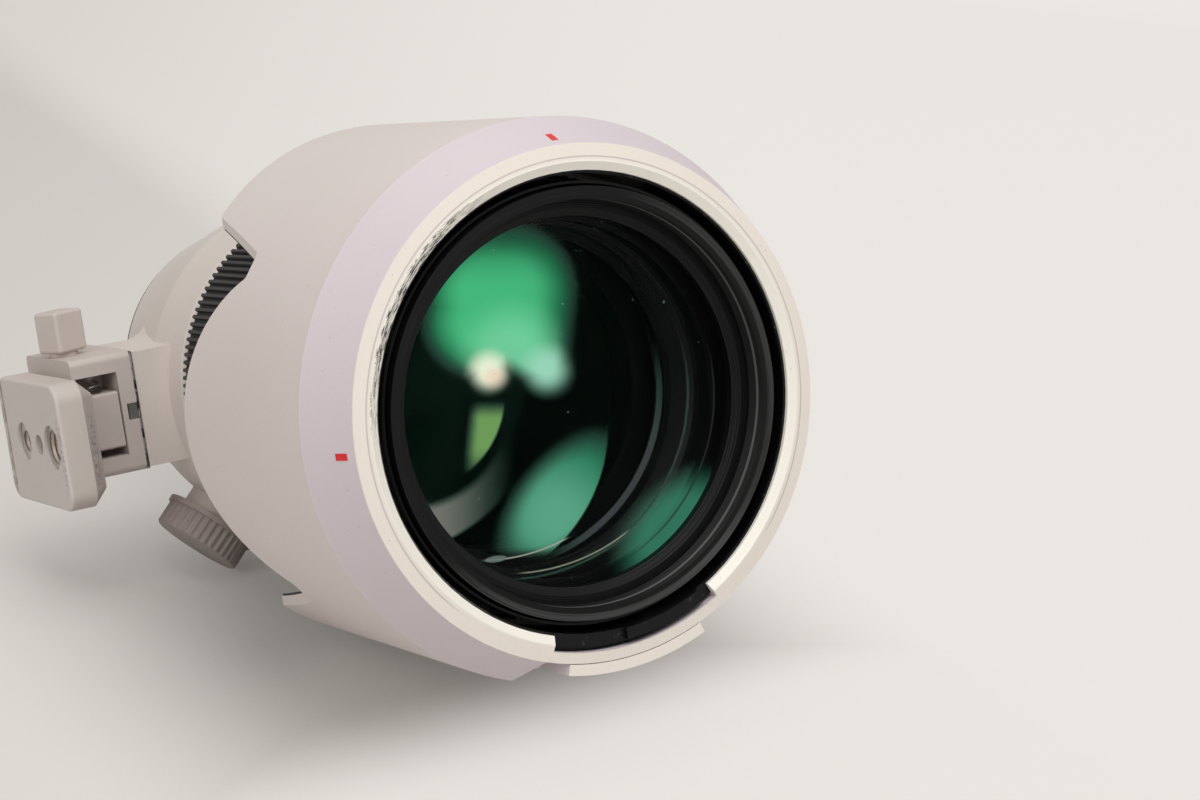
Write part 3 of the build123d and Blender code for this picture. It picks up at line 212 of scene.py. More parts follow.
for away, shadow_end, paper_start, share in (
        (0 - spot["Y"], 0.036, 0.076, 0.75),
        (spot["X"], 0.030, 0.100, 0.80),
        (0 - spot["X"], 0.030, 0.090, 0.60),
        (spot["Y"], 0.020, 0.090, 0.42),
        (from_lens, 0.25, 0.60, 0.85),
):
    bright_share = away.maths("MAXIMUM", bright_share, away.fade(shadow_end, paper_start) * share)
# Painted light: the glow is dimmer towards the left of the lens and brighter towards its right.
dim_side, bright_side = -0.30, 0.10
painted_light_tone = along_right.fade(dim_side, bright_side).colours(srgb(214, 209, 203), srgb(238, 234, 229))
paper = start.node("Emission", {}, {"Color": painted_light_tone, "Strength": 1.0})
least_share = 0.10
table_shader = start.node("MixShader", {}, {0: looked_at * (bright_share + least_share), 2: paper})
table_nodes = table_finish.node_tree
table_nodes.links.new(shader_of(table_finish).outputs[0], table_shader.socket.node.inputs[1])
table_nodes.links.new(table_shader.socket, table_nodes.nodes["Material Output"].inputs[0])
table.data.materials.append(table_finish)

# The room is white all round. It lights the lens softly from every side, and shows brighter where it is seen
# straight, mirrored or through glass.
room_light = 0.58
room_seen_more = 0.40
world = bpy.data.worlds.new("studio")
bpy.context.scene.world = world
world.use_nodes = True
room = Wire(world.node_tree)
path = room.node("LightPath", {}, {}, "Is Camera Ray")
looked_at = path.maths("MAXIMUM", path, path["Is Transmission Ray"])
looked_at = looked_at.maths("MAXIMUM", looked_at, path["Is Glossy Ray"])
backdrop = world.node_tree.nodes["Background"]
backdrop.inputs["Color"].default_value = srgb(236, 235, 232)
world.node_tree.links.new((looked_at * room_seen_more + room_light).socket, backdrop.inputs["Strength"])
bpy.context.scene.view_settings.view_transform = "Standard"

# One large soft box hangs above and in front of the lens, and a smaller one stands at its left. Both point
# at the middle of the barrel.
lamp_aim = Vector((0, 0, 0.05))
for name, lamp_place, size, power, tone in (
        ("soft_box_above", (0.0, -0.45, 0.95), 0.8, 5.8, (1.0, 0.985, 0.97)),
        ("soft_box_left", (-0.75, -0.35, 0.60), 0.5, 1.6, (1.0, 0.99, 0.98)),
):
    lamp = bpy.data.objects.new(name, bpy.data.lights.new(name, "AREA"))
    lamp.data.shape = "SQUARE"
    lamp.data.size = size
    lamp.data.energy = power
    lamp.data.color = tone
    lamp.location = lamp_place
    lamp.rotation_mode = "QUATERNION"
    lamp.rotation_quaternion = (lamp_aim - lamp.location).to_track_quat("-Z", "Y")
    bpy.context.scene.collection.objects.link(lamp)


def lens_place(start):
    """Places in the lens's own frame, turned from the table's."""
    place = start.node("TexCoord", {}, {}, "Object")
    return start.node("Mapping", {"vector_type": "TEXTURE"},
                      {"Vector": place, "Location": lens.translation, "Rotation": lens.to_euler()})


def lens_axes(place):
    """Distances across, up and along the lens."""
    apart = place.node("SeparateXYZ", {}, {"Vector": place})
    return apart["X"], apart["Y"], apart["Z"]


def streaks_round(start, x, y, along, stretch, fineness, scale, detail, roughness):
    """Marks that run round the axis: coarse across the lens and fine along it."""
    drawn = start.node("CombineXYZ", {}, {"X": x * stretch, "Y": y * stretch, "Z": along * fineness})
    return noise(drawn, scale, detail, roughness)


def dress(finish, *nodes):
    """Gives a finish to CAD nodes whose shape stays."""
    for node in nodes:
        piece = frame["nodes"][node]
        piece.data.materials.clear()
        piece.data.materials.append(finish)


# The hood is an off-white moulding, stowed back to front, with a satin skin that takes a faint pink cast.
# Its chamfer is painted as shade, a darker and cooler tone, and its rim face as light, a brighter cream. The
# bevel inside the rim is paler and glossier, and scuffed.
chamfer_end = 0.1556
chamfer_blend = 0.0006
rim_face = (0.1672, 0.1675)
moulding_line = 0.0459
line_core, line_edge = 0.00008, 0.00022
above_door = (-0.034, -0.028)
bevel_outer = 0.0452
bevel_blend = 0.0002
bevel_rise = (0.1655, 0.1665)
scuffs_to_left = (-0.01, -0.03)
scuffs_to_top = (-0.005, 0.02)
hood_finish, start = new_finish("hood_moulding", specular_ior_level=0.4)
place = lens_place(start)
x, y, z = lens_axes(place)
radius = (x * x + y * y) ** 0.5
mottle = noise(place, 22.0, detail=3.0)
side_skin = mottle.colours(srgb(214, 203, 199), srgb(224, 214, 211))
# Painted shade: the chamfer is a darker, cooler copy of the side's tone.
chamfer_painted_shade = mottle.colours(srgb(206, 195, 201), srgb(217, 206, 212))
skin = z.fade(chamfer_end - chamfer_blend, chamfer_end + chamfer_blend).colours(side_skin, chamfer_painted_shade)
face = z.fade(*rim_face)
# Painted light: the rim face is a brighter cream than the sides.
skin = face.colours(skin, srgb(235, 227, 218))
line = radius.between((moulding_line - line_edge, moulding_line - line_core),
                      (moulding_line + line_core, moulding_line + line_edge)) * face * y.fade(*above_door)
skin = (line * 0.55).colours(skin, srgb(168, 156, 160))
bevel = (1 - radius.fade(bevel_outer - bevel_blend, bevel_outer + bevel_blend)) * z.fade(*bevel_rise)
streaks = streaks_round(start, x, y, z, stretch=40, fineness=900, scale=9.0, detail=4.0, roughness=0.7)
scuffs = bevel * streaks.fade(0.50, 0.54) * x.fade(*scuffs_to_left) * y.fade(*scuffs_to_top)
# The bevel inside the rim is drawn paler.
skin = bevel.colours(skin, srgb(244, 240, 230))
skin = scuffs.colours(skin, srgb(60, 56, 56))
dust = noise(place, 1400.0, detail=1.0).fade(0.74, 0.80)
skin = (dust * 0.35).colours(skin, srgb(150, 142, 138))
grain = noise(place, 2600.0) + noise(place, 260.0) * 0.6
feed(hood_finish, base_color=skin, roughness=0.42 + mottle * 0.12 - bevel * 0.12,
     normal=bump(grain, height=0.000035))
dress(hood_finish, "hood_shell", "hood_window_door", "hood_release_button")

# The barrel and the collar are die-cast and sprayed with a fine-grained enamel of the same white. It is
# baked hard, so it keeps a slight orange-peel skin.
barrel_finish, start = new_finish("barrel_enamel", specular_ior_level=0.4)
place = lens_place(start)
speckle = noise(place, 3200.0)
tone = noise(place, 30.0, detail=3.0)
feed(barrel_finish, base_color=tone.colours(srgb(212, 202, 196), srgb(222, 213, 207)),
     roughness=0.40 + speckle * 0.22, normal=bump(speckle, height=0.00005))
dress(barrel_finish, "rear_barrel", "panel_barrel", "collar_ring")

# The foot is a casting in the same enamel. Its outer face is paler and greyer than the rest, and it is
# handled most, so its face is chipped, violet rubs run beside the front bush, pale nicks lie above it, and
# grime has gathered at its rear end.
outer_face = (0.0660, 0.0668)
rub_along = (0.0572, 0.0580), (0.0592, 0.0598)
rub_up = (-0.014, -0.011), (0.001, 0.004)
nicks_along = (0.0560, 0.0580)
nicks_up = (0.004, 0.006)
grime_face = (0.0655, 0.0665)
grime_end = (0.0238, 0.0246)
foot_finish, start = new_finish("foot_enamel", specular_ior_level=0.45)
place = lens_place(start)
x, y, z = lens_axes(place)
speckle = noise(place, 3200.0)
combed = start.node("Mapping", {}, {"Vector": place, "Rotation": (0.5, 0.3, 0.7), "Scale": (30, 900, 90)})
hairs = noise(combed, 1.0, detail=3.0, roughness=0.75)
on_face = (0 - x).fade(*outer_face)
rubs = z.between(*rub_along) * y.between(*rub_up) * noise(place, 1500.0, 3.0, 0.7).fade(0.50, 0.60)
nicks = hairs.fade(0.66, 0.70) * z.fade(*nicks_along) * y.fade(*nicks_up) * on_face
chips = noise(place, 700.0, 3.0, 0.7).fade(0.70, 0.74) * on_face
grime = (1 - z.fade(*grime_end)) * (0 - x).fade(*grime_face) * noise(place, 300.0, 3.0).fade(0.35, 0.6)
enamel = noise(place, 40.0, detail=3.0).colours(srgb(192, 181, 175), srgb(204, 194, 188))
# The outer face is drawn paler and greyer.
enamel = (on_face * 0.5).colours(enamel, srgb(206, 200, 196))
enamel = (rubs * 0.7).colours(enamel, srgb(128, 112, 140))
enamel = (nicks * 0.8).colours(enamel, srgb(236, 232, 232))
enamel = (chips * 0.5).colours(enamel, srgb(120, 116, 118))
enamel = (grime * 0.5).colours(enamel, srgb(140, 122, 104))
feed(foot_finish, base_color=enamel, roughness=0.42 + speckle * 0.2, normal=bump(speckle, height=0.00005))
dress(foot_finish, "foot", "foot_release_block", "foot_lock_knob")

# The collar's lock knob is a ribbed moulding of its own, greyer than the enamel round it, and its tone is
# darkened further as painted shade from the hood over it. Grease and dust have settled between its ribs.
knob_finish, start = new_finish("collar_knob_moulding", specular_ior_level=0.4)
grease = noise(lens_place(start), 260.0, detail=3.0, roughness=0.6)
# Partly painted shade: both of the knob's tones are dark enough to hold the hood's shade as well as its own
# grey.
feed(knob_finish, base_color=grease.colours(srgb(150, 138, 134), srgb(172, 160, 156)),
     roughness=0.5 + grease * 0.2, normal=bump(grease, height=0.00003))
dress(knob_finish, "collar_knob")

# The rings round the glass are turned from aluminium and anodised black, with lathe marks that run round the
# Screwing filters in and out has rubbed a line in the thread and the outer edge of the rim. The grey on that
# edge is partly painted light: it is laid on the rim's right and lower sides only, where the ring is lit.
thread_radius = 0.0381
thread_foot = 0.1617
thread_depth = 0.0004
ring_rim = 0.1667
ring_outer = 0.0405
thread_heights = (0.1614, 0.1618)
thread_radii = (0.0379, 0.0381), (0.0385, 0.0387)
crest_heights = (0.1638, 0.1640), (0.1645, 0.1647)
at_rim = (0.1660, 0.1664)
rim_inner_part = (0.0388, 0.0390)
rim_outer_part = (0.0390, 0.0393)
rubbed_lit_right = (0.010, 0.030)
rubbed_lit_low = (0.020, 0.034)
ring_finish, start = new_finish("black_anodised_rings", specular_ior_level=0.16)
place = lens_place(start)
x, y, z = lens_axes(place)
radius = (x * x + y * y) ** 0.5
lathe = (radius + z * 0.7) * 16000
rubs = streaks_round(start, x, y, radius + z, stretch=40, fineness=9000, scale=1.0, detail=3.0, roughness=0.7)
anodising = noise(place, 60.0, detail=3.0).colours(srgb(7, 7, 9), srgb(15, 15, 17))
black = (rubs.fade(0.55, 0.80) * 0.45).colours(anodising, srgb(70, 71, 69))
in_thread = z.fade(*thread_heights) * radius.between(*thread_radii)
black = in_thread.colours(black, srgb(9, 9, 10))
black = (in_thread * z.between(*crest_heights) * 0.8).colours(black, srgb(92, 95, 94))
on_rim = z.fade(*at_rim)
# Partly painted light: the rubbed grey on the rim's outer edge is kept to its right and lower sides, where
# light falls.
rub_and_light_share = x.fade(*rubbed_lit_right) * 0.40 + (0 - y).fade(*rubbed_lit_low) * 0.50
rubbed_and_lit_edge = on_rim * radius.fade(*rim_outer_part) * rub_and_light_share * rubs.fade(0.30, 0.60)
black = rubbed_and_lit_edge.colours(black, srgb(88, 90, 87))
black = (on_rim * (1 - radius.fade(*rim_inner_part))).colours(black, srgb(9, 9, 10))
feed(ring_finish, base_color=black, roughness=0.30 + rubs * 0.25,
     normal=bump(lathe.maths("SINE", lathe), height=0.00001))
dress(ring_finish, "front_ring", "focus_carriage", "variator_carriage", "compensator_carriage",
      "iris_housing", "rear_cell")


def outline_of(corners, grooved, grooves, depth):
    """Outline of a turned piece in radius and height, with one side cut into sharp grooves."""
    outline = bmesh.new()
    points = [outline.verts.new((radius, 0, height)) for radius, height in corners]
    sides = [outline.edges.new(pair) for pair in zip(points, points[1:] + points[:1])]
    cut = bmesh.ops.subdivide_edges(outline, edges=[sides[grooved]], cuts=2 * grooves - 1)["geom_inner"]
    cut = sorted((part for part in cut if isinstance(part, bmesh.types.BMVert)), key=lambda point: point.co.z)
    for valley in cut[::2]:
        valley.co.x += depth
    return outline


def turned(name, outline, steps, place, finish, body):
    """Spins an outline into a closed piece, sets it in place and fixes it to a body."""
    bmesh.ops.spin(outline, geom=outline.verts[:] + outline.edges[:], cent=(0, 0, 0), axis=(0, 0, 1),
                   dvec=(0, 0, 0), angle=math.tau, steps=steps, use_merge=True)
    bmesh.ops.remove_doubles(outline, verts=outline.verts, dist=1e-7)
    bmesh.ops.recalc_face_normals(outline, faces=outline.faces)
    return settled(name, outline, place, finish, body)


def settled(name, shape, place, finish, body):
    """Makes an object of a mesh in its place, with crisp edges kept sharp."""
    bmesh.ops.transform(shape, matrix=place, verts=shape.verts)
    piece = bpy.data.objects.new(name, bpy.data.meshes.new(name))
    shape.to_mesh(piece.data)
    shape.free()
    piece.data.polygons.foreach_set("use_smooth", [True] * len(piece.data.polygons))
    piece.data.set_sharp_from_angle(angle=math.radians(28))
    piece.data.materials.append(finish)
    bpy.context.scene.collection.objects.link(piece)
    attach(piece, body)
    return piece


# The filter ring is turned from black anodised aluminium, with the filter thread cut in its bore. It screws
# on to the front tube and holds the front glass against a ledge.
ring_steps = 144
ring_base = 0.14925
ring_ledge = 0.1531
ledge_bore = 0.0340
glass_bore = 0.0375
filter_ring = turned("filter_ring_threaded", outline_of(
    ((thread_radius, thread_foot), (thread_radius, ring_rim), (ring_outer, ring_rim), (ring_outer, ring_base),
     (ledge_bore, ring_base), (ledge_bore, ring_ledge), (glass_bore, ring_ledge), (glass_bore, thread_foot)),
    grooved=0, grooves=6, depth=thread_depth), ring_steps, lens, ring_finish, "barrel")
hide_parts("filter_ring")

# The retaining ring is turned from the same black aluminium and screws down on the front glass. Its inner
# slope is grooved, so that no light glances off it into the glass.
retaining_outer = 0.03742
retaining_base = 0.1585
slope_outer, slope_inner = 0.03632, 0.03492
slope_foot = 0.1603
retaining_ring = turned("retaining_ring_grooved", outline_of(
    ((retaining_outer, retaining_base), (retaining_outer, thread_foot), (slope_outer, thread_foot),
     (slope_inner, slope_foot), (slope_inner, retaining_base)),
    grooved=2, grooves=4, depth=0.00016), ring_steps, lens, ring_finish, "barrel")
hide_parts("front_retaining_ring")

# The front cell is a black tube that is pushed in behind the front glass and carries the second one. Fine
# grooves turned in its bore kill reflections.
cell_bore, cell_lip, cell_outer = 0.03305, 0.03145, 0.03625
cell_front, cell_shoulder, cell_back = 0.1492, 0.1403, 0.1387
front_cell = turned("front_cell_grooved", outline_of(
    ((cell_bore, cell_front), (cell_bore, cell_shoulder), (cell_lip, cell_shoulder), (cell_lip, cell_back),
     (cell_outer, cell_back), (cell_outer, cell_front)),
    grooved=0, grooves=14, depth=0.0003), ring_steps, lens, ring_finish, "barrel")
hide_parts("front_cell")

# The hood's bayonet ring is a black moulding. Years of filters and of fitting the hood have polished its
# tabs and left grey scratches along them. At its left the grey is thicker as a painted highlight, where light
# catches the ring.
scratched_lit_left = (0.022, 0.034)
bayonet_finish, start = new_finish("black_bayonet_moulding", specular_ior_level=0.20)
x, y, z = lens_axes(lens_place(start))
scratch = streaks_round(start, x, y, z, stretch=60, fineness=1500, scale=8.0, detail=4.0, roughness=0.75)
all_round = scratch.fade(0.60, 0.72) * 0.55
# Partly painted highlight: the scratch grey is laid thick at the ring's left, where light catches it.
scratches_and_highlight_at_left = (0 - x).fade(*scratched_lit_left) * scratch.fade(0.30, 0.55) * 0.75
rubs = scratch.maths("MAXIMUM", all_round, scratches_and_highlight_at_left)
feed(bayonet_finish, base_color=rubs.colours(srgb(9, 9, 12), srgb(112, 110, 104)),
     roughness=0.30 + scratch * 0.25, normal=bump(scratch, height=0.00002))
dress(bayonet_finish, "hood_bayonet_ring", "contact_block", "stabiliser_unit", "switch_panel",
      "focus_mode_switch", "stabiliser_switch")

# The hood's liner is flocked paper, glued to the inside of the shell. Its short black fibres swallow stray
# light.
flock_finish, start = new_finish("black_flock", roughness=0.95, specular_ior_level=0.05, sheen_weight=0.2)
fibre = noise(lens_place(start), 5200.0, roughness=0.7)
feed(flock_finish, base_color=fibre.colours(srgb(12, 12, 13), srgb(30, 30, 32)),
     normal=bump(fibre, height=0.00015))
dress(flock_finish, "hood_liner")

# Both grips are moulded rubber sleeves, stretched over their rings. Skin oil and dust have greyed the tops of
# the ribs, which lie further out on the focusing grip than on the zoom grip.
zoom_rib_tops = (0.0378, 0.0382), (0.0384, 0.0386)
focus_rib_tops = (0.0430, 0.0433)
rubber_finish, start = new_finish("grip_rubber", specular_ior_level=0.35)
place = lens_place(start)
x, y, z = lens_axes(place)
radius = (x * x + y * y) ** 0.5
worn = radius.between(*zoom_rib_tops) + radius.fade(*focus_rib_tops)
powder = noise(place, 1500.0, detail=3.0, roughness=0.6)
feed(rubber_finish, base_color=(worn * powder * 0.5).colours(srgb(32, 32, 34), srgb(104, 102, 102)),
     roughness=0.6 + powder * 0.2, normal=bump(powder, height=0.00003))
dress(rubber_finish, "zoom_grip", "focus_grip", "weather_seal")

# The tubes and rings under the grips are plain anodised aluminium. They are turned and slotted, and slide
# one inside the other.
tube_finish, start = new_finish("inner_tubes", metallic=0.9)
cloud = noise(lens_place(start), 45.0, detail=3.0)
feed(tube_finish, base_color=cloud.colours(srgb(58, 58, 60), srgb(78, 78, 80)), roughness=0.35 + cloud * 0.2)
dress(tube_finish, "main_tube", "front_tube", "zoom_ring", "focus_ring", "guide_tube", "cam_tube")

# Bright steel makes the bushes, springs, screws and the latch pin. Tool marks and wear dull it in patches.
# The motor's case and the iris blades are steel too.
steel_finish, start = new_finish("bright_steel", metallic=1.0)
place = lens_place(start)
cloud = noise(place, 320.0, detail=3.0, roughness=0.6)
feed(steel_finish, base_color=cloud.colours(srgb(168, 166, 164), srgb(206, 204, 201)),
     roughness=0.22 + cloud * 0.25, normal=bump(noise(place, 2500.0), height=0.00001))
dress(steel_finish, "foot_bushes", "foot_latch", "hood_button_spring", "foot_release_spring", "panel_screws",
      "mount_screws", "zoom_key", "collar_knob_screw", "focus_motor", "iris_blades")

# Both springs are wound from steel wire. In the lens each is pressed flatter against its seat as its button
# or block goes in, and pushes it out again; here each only gets a mesh of its own.
for coil_name, joint, press, travel in (
        ("hood_button_spring", "hood_button_press", (-1, 0, 0), 0.001),
        ("foot_release_spring", "foot_release_press", (0, 0.2727905, 0.9620735), 0.0032),
):
    coil = frame["nodes"][coil_name]
    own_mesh(coil)

# Steel inserts line the two threaded holes in the foot's face, pressed in from outside. Their threads show as
# rings in each hole.
insert_length = 0.0062
crest_inside, wall_outside, insert_groove = 0.0003, 0.0004, 0.00028
hole_mouth, hole_height = -0.0663, -0.0035
insert_finish, start = new_finish("threaded_inserts", metallic=0.5)
stain = noise(lens_place(start), 500.0, detail=3.0, roughness=0.6)
feed(insert_finish, base_color=stain.colours(srgb(176, 164, 152), srgb(204, 194, 184)),
     roughness=0.4 + stain * 0.2)
for name, hole_radius, station in (("large_insert_thread", 0.00397, 0.053),
                                   ("small_insert_thread", 0.00255, 0.0345)):
    crest, wall = hole_radius - crest_inside, hole_radius + wall_outside
    thread = outline_of(((crest, 0), (crest, insert_length), (wall, insert_length), (wall, 0)),
                        grooved=0, grooves=6, depth=insert_groove)
    mouth = Matrix.Translation((hole_mouth, hole_height, station)) @ Matrix.Rotation(math.pi / 2, 4, "Y")
    turned(name, thread, 40, lens @ mouth, insert_finish, "foot_body")

# A thin dark sheet between the collar's block and its rail is painted shadow: it stands for the line of
# shade in the gap where the foot closes on the block. It is paler in patches towards its front end.
plate_thickness, plate_height, plate_length = 0.0005, 0.0256, 0.0264
plate_across, plate_station = -0.0451, 0.0349
plate_edge_round = 0.0001
pale_end = (0.0474, 0.0480)
gap_shadow_finish, start = new_finish("clamped_plate", metallic=0.8)
place = lens_place(start)
x, y, z = lens_axes(place)
# Paler in patches towards the sheet's front end.
pale_patches = z.fade(*pale_end) * noise(place, 500.0, detail=3.0).fade(0.40, 0.60)
feed(gap_shadow_finish, base_color=pale_patches.colours(srgb(52, 50, 54), srgb(168, 164, 166)),
     roughness=0.45 - pale_patches * 0.2)
# Painted shadow: this dark sheet fills the gap's shade.
shadow_sheet = bmesh.new()
bmesh.ops.create_cube(shadow_sheet, size=1.0)
bmesh.ops.scale(shadow_sheet, vec=(plate_thickness, plate_height, plate_length), verts=shadow_sheet.verts)
bmesh.ops.translate(shadow_sheet, vec=(plate_across, 0, plate_station), verts=shadow_sheet.verts)
bmesh.ops.bevel(shadow_sheet, geom=shadow_sheet.edges[:], offset=plate_edge_round, segments=2, profile=0.5, affect="EDGES",
                material=-1)
settled("clamped_plate", shadow_sheet, lens, gap_shadow_finish, "collar")

# The mount is a turned ring of brass under satin chrome, screwed to the rear barrel. Fine turning rings show
# on its bearing face.
chrome_finish, start = new_finish("mount_chrome", metallic=1.0)
place = lens_place(start)
x, y, z = lens_axes(place)
turning = (x * x + y * y) ** 0.5 * 26000
cloud = noise(place, 80.0, detail=3.0)
feed(chrome_finish, base_color=cloud.colours(srgb(200, 199, 196), srgb(222, 221, 218)),
     roughness=0.18 + cloud * 0.14, normal=bump(turning.maths("SINE", turning), height=0.000006))
dress(chrome_finish, "mount_bayonet")

# The contacts and the cam followers are turned from brass. The contacts are gilt and stand in their block,
# and the followers are screwed into the carriages.
brass_finish, start = new_finish("gilt_brass", metallic=1.0)
cloud = noise(lens_place(start), 600.0)
feed(brass_finish, base_color=cloud.colours(srgb(196, 164, 92), srgb(222, 190, 120)),
     roughness=0.2 + cloud * 0.15)
dress(brass_finish, "contact_pins", "focus_pins", "variator_pins", "compensator_pins")

# The index marks on the hood and the mount are shallow recesses filled with opaque red paint. They show
# where each bayonet goes in.
red_finish, start = new_finish("red_index_paint", specular_ior_level=0.4)
cloud = noise(lens_place(start), 900.0)
feed(red_finish, base_color=cloud.colours(srgb(206, 34, 40), srgb(226, 52, 54)), roughness=0.4 + cloud * 0.2)
dress(red_finish, "hood_index_dashes", "mount_index_dot")

# The board behind the stabiliser is glass fibre under a green mask, with copper tracks beneath it. It is
# held at the back of the barrel.
board_finish, start = new_finish("green_board", specular_ior_level=0.5)
tracks = start.node("TexBrick", {}, {"Vector": lens_place(start), "Scale": 260.0}, "Fac")
feed(board_finish, base_color=tracks.colours(srgb(22, 84, 48), srgb(46, 118, 70)),
     roughness=0.3 + tracks * 0.2)
dress(board_finish, "circuit_board")

# The inner groups are coated glass, cemented and held in black carriages. In the dark barrel they look almost
# black, and their coats throw back a little green.
inner_finish, start = new_finish("inner_glass", roughness=0.04, specular_ior_level=0.08,
                                 specular_tint=(0.25, 0.9, 0.6, 1))
film = noise(lens_place(start), 12.0)
feed(inner_finish, base_color=film.colours(srgb(3, 4, 4), srgb(6, 9, 8)))
dress(inner_finish, "focus_element", "variator_element", "compensator_element", "stabiliser_element",
      "rear_element")

# The second glass sits in the front cell. It is coated so well that it is almost clear, and shows the stepped
# barrel behind it.
glass_index = 1.35
least_seen = 0.004
clear_finish, start = new_finish("clear_inner_glass", roughness=0.03, metallic=1.0)
edge = start.node("Fresnel", {}, {"IOR": glass_index}, "Fac")
film = noise(lens_place(start), 10.0)
feed(clear_finish, base_color=film.colours(srgb(60, 96, 84), srgb(74, 108, 96)),
     alpha=edge * 0.12 + least_seen)
dress(clear_finish, "second_element")

# The front glass is coated. Painted reflections and painted light glow on its face: green images of the soft
# boxes, of the ring behind it and of the grooved barrel, drawn in the columns and rows of the camera's view.
front_glass_finish, start = new_finish("coated_front_glass", roughness=0.02, metallic=1.0,
                                       emission_strength=1.0)
place = lens_place(start)
x, y, z = lens_axes(place)
table_place = start.node("TexCoord", {}, {}, "Object")


def from_camera(direction):
    """Distance from where the camera stood, along one of its directions."""
    reach = table_place.node("VectorMath", {"operation": "DOT_PRODUCT"},
                             {0: table_place, 1: direction}, "Value")
    return reach - camera_place.dot(direction)


depth = from_camera(ahead)
column = from_camera(right) / depth * focal_pixels + image_width / 2
row = image_height / 2 - from_camera(up) / depth * focal_pixels


def disc(centre, radius):
    """Distance outside a circle of the picture, negative inside it."""
    aside, below = column - centre[0], row - centre[1]
    return (aside * aside + below * below) ** 0.5 - radius


def tapered(wide, wide_radius, narrow, narrow_radius):
    """Distance outside a shape that narrows from one circle to another, negative inside it."""
    length = math.dist(wide, narrow)
    run_across, run_down = (narrow[0] - wide[0]) / length, (narrow[1] - wide[1]) / length
    lean = (wide_radius - narrow_radius) / length
    down = (column - wide[0]) * run_across + (row - wide[1]) * run_down
    side = (column - wide[0]) * run_down - (row - wide[1]) * run_across
    side = side.maths("ABSOLUTE", side)
    share = (down - side * (lean / math.sqrt(1 - lean * lean))) / length
    share = share.node("Clamp", {}, {"Value": share})
    past = down - share * length
    return (past * past + side * side) ** 0.5 - (share * (narrow_radius - wide_radius) + wide_radius)


def oval(centre, half_width, half_height, lean=0):
    """Distance from the middle of a leaning oval, 1 at its edge."""
    turn = math.radians(lean)
    aside, below = column - centre[0], row - centre[1]
    along = (aside * math.cos(turn) - below * math.sin(turn)) / half_width
    upright = (aside * math.sin(turn) + below * math.cos(turn)) / half_height
    return (along * along + upright * upright) ** 0.5


def arc(centre, radius, half_width, soft_outside=1.0, soft_inside=0.6):
    """A thin line along a circle of the picture."""
    away = disc(centre, radius)
    return away.maths("ABSOLUTE", away).fade(half_width + soft_outside, half_width - soft_inside)


# The two soft boxes show as round green lobes that run down to a bright spot each.
left_lobe = tapered(wide=(478, 322), wide_radius=58, narrow=(489, 370), narrow_radius=19)
right_lobe = tapered(wide=(506, 291), wide_radius=72, narrow=(547, 368), narrow_radius=23)
lobes = left_lobe.maths("MINIMUM", left_lobe, right_lobe)
lobes = lobes.maths("MINIMUM", lobes, disc(centre=(496, 293), radius=75))
lobe_rows, lobe_top_rows, dimmer_columns = (215, 290), (178, 262), (515, 590)
between_spots = disc(centre=(512, 354), radius=0).fade(66, 10)
lobe_light = lobes.fade(-2, -44) * row.fade(*lobe_rows) * (1 - column.fade(*dimmer_columns) * 0.50)
lobe_tone = lobe_light.colours(srgb(18, 78, 52), srgb(70, 186, 126))
lobe_tone = (between_spots * 0.80).colours(lobe_tone, srgb(124, 218, 168))
lobe = lobes.fade(5, -18) * row.fade(*lobe_top_rows)
right_spot = oval(centre=(547, 370), half_width=25, half_height=25).fade(1.35, 0.25)
left_spot = oval(centre=(489, 372), half_width=20, half_height=20).fade(1.40, 0.30)
warm_spot = oval(centre=(495, 378), half_width=12, half_height=11).fade(1.40, 0.20)

# A ring deep in the barrel cuts a painted yellow-green strip of reflected light off at its right, and its lit
# wall shows as a painted grey crescent.
strip_left, strip_slant = 514, 0.1
strip_top_rows, strip_low_rows = (398, 420), (446, 486)
strip = disc(centre=(404.3, 394.1), radius=100.8).fade(1.5, -2)
strip = strip * (column + row * strip_slant - strip_left).fade(-7, 9)
strip = strip * row.between(strip_top_rows, strip_low_rows)
crescent_columns, crescent_rows = (520, 432), (418, 462)
crescent = disc(centre=(409.6, 410.2), radius=94.8).fade(-3.0, 9.0)
crescent = crescent * disc(centre=(371.8, 382.9), radius=174.6).fade(2, -3)
crescent = crescent * column.fade(*crescent_columns) * row.fade(*crescent_rows)

# Two painted green reflections lie lower down as leaves, one bright and one dim, each cut off by a ring at
# its right.
leaf_end_rows = (546, 560)
leaf = oval(centre=(560, 502), half_width=46, half_height=88, lean=-39).fade(1.10, 0.50)
leaf = leaf * disc(centre=(437.7, 424.6), radius=170.9).fade(1, -1.5) * (1 - row.fade(*leaf_end_rows))
leaf_tone = disc(centre=(556, 516), radius=0).fade(80, 8).colours(srgb(40, 126, 92), srgb(92, 168, 136))
dim_leaf = oval(centre=(672, 526), half_width=42, half_height=78, lean=-43).fade(1.15, 0.40)
dim_leaf = dim_leaf * disc(centre=(575, 450.3), radius=138.3).fade(1, -1.5)
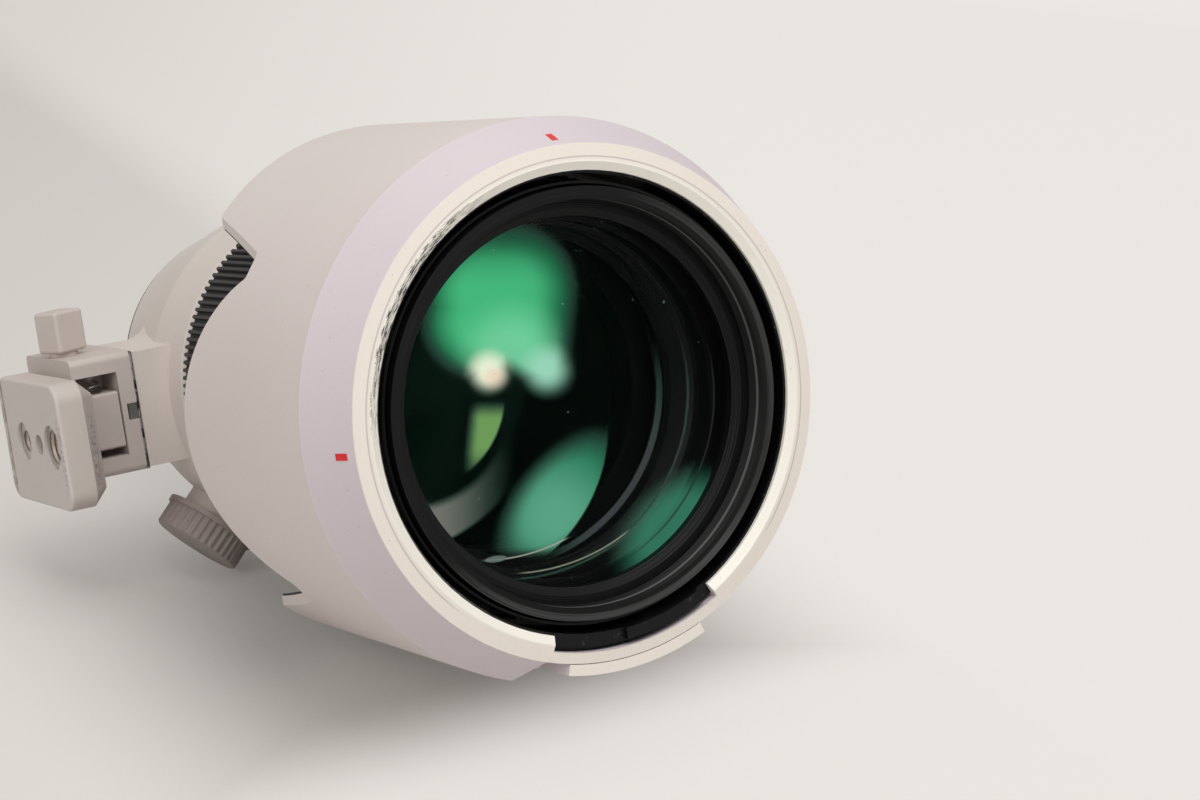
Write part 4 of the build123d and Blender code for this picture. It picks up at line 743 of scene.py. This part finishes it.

# Thin painted arcs stand for the lit edges of the rings that carry the inner glass, and one small painted bar
# for a lit notch in them.
arcs = (
    ((480.7, 391.1), 178.6, 2.8, (330, 470), (540, 600), srgb(66, 59, 68), 0.85),
    ((498, 392), 190, 0.8, (320, 440), (560, 640), srgb(44, 45, 48), 0.8),
    ((517, 395), 197, 0.8, (300, 400), (600, 680), srgb(44, 46, 48), 0.8),
    ((480, 380), 180.5, 0.5, (535, 541), (478, 492), srgb(176, 176, 164), 0.9),
    ((508, 383), 190.5, 0.5, (528, 536), (512, 530), srgb(150, 150, 136), 0.9),
)
lowest_arc = arc(centre=(500, 380), radius=200, half_width=0.6) * row.fade(520, 560)
bar = oval(centre=(496, 559), half_width=11, half_height=3.2, lean=8).fade(1.1, 0.9)
# Painted light: small pale specks glow on the glass.
specks = noise(place, 1100.0, detail=1.0).fade(0.775, 0.80)
images = (
    (lobe, lobe_tone, 0.97),
    (strip, srgb(112, 158, 90), 0.95),
    (crescent, srgb(126, 126, 119), 0.85),
    (leaf, leaf_tone, 0.95),
    (dim_leaf, srgb(54, 122, 98), 0.92),
    (right_spot, srgb(160, 219, 192), 0.88),
    (left_spot, srgb(236, 243, 214), 0.97),
    (warm_spot, srgb(240, 208, 184), 0.70),
    *((arc(centre, radius, half_width) * row.fade(*rows) * column.fade(*columns), tone, strength)
      for centre, radius, half_width, rows, columns, tone, strength in arcs),
    (lowest_arc, srgb(38, 70, 58), 0.7),
    (bar, srgb(104, 112, 107), 0.85),
    (specks, srgb(120, 138, 130), 0.7),
)
glow = start.node("RGB", {}, {})
glow.socket.default_value = (0, 0, 0, 1)
shown = 0.0
for image, tone, strength in images:
    glow = (image * strength).colours(glow, tone)
    shown = image.maths("MAXIMUM", image * strength, shown)
front_face = (0.1580, 0.1582)
shown = shown * z.fade(*front_face)
edge = start.node("Fresnel", {}, {"IOR": glass_index}, "Fac")
feed(front_glass_finish, emission_color=glow, base_color=shown.colours(srgb(70, 110, 96), srgb(0, 0, 0)),
     alpha=shown.maths("MAXIMUM", shown, edge * 0.10 + least_seen))
dress(front_glass_finish, "front_element")
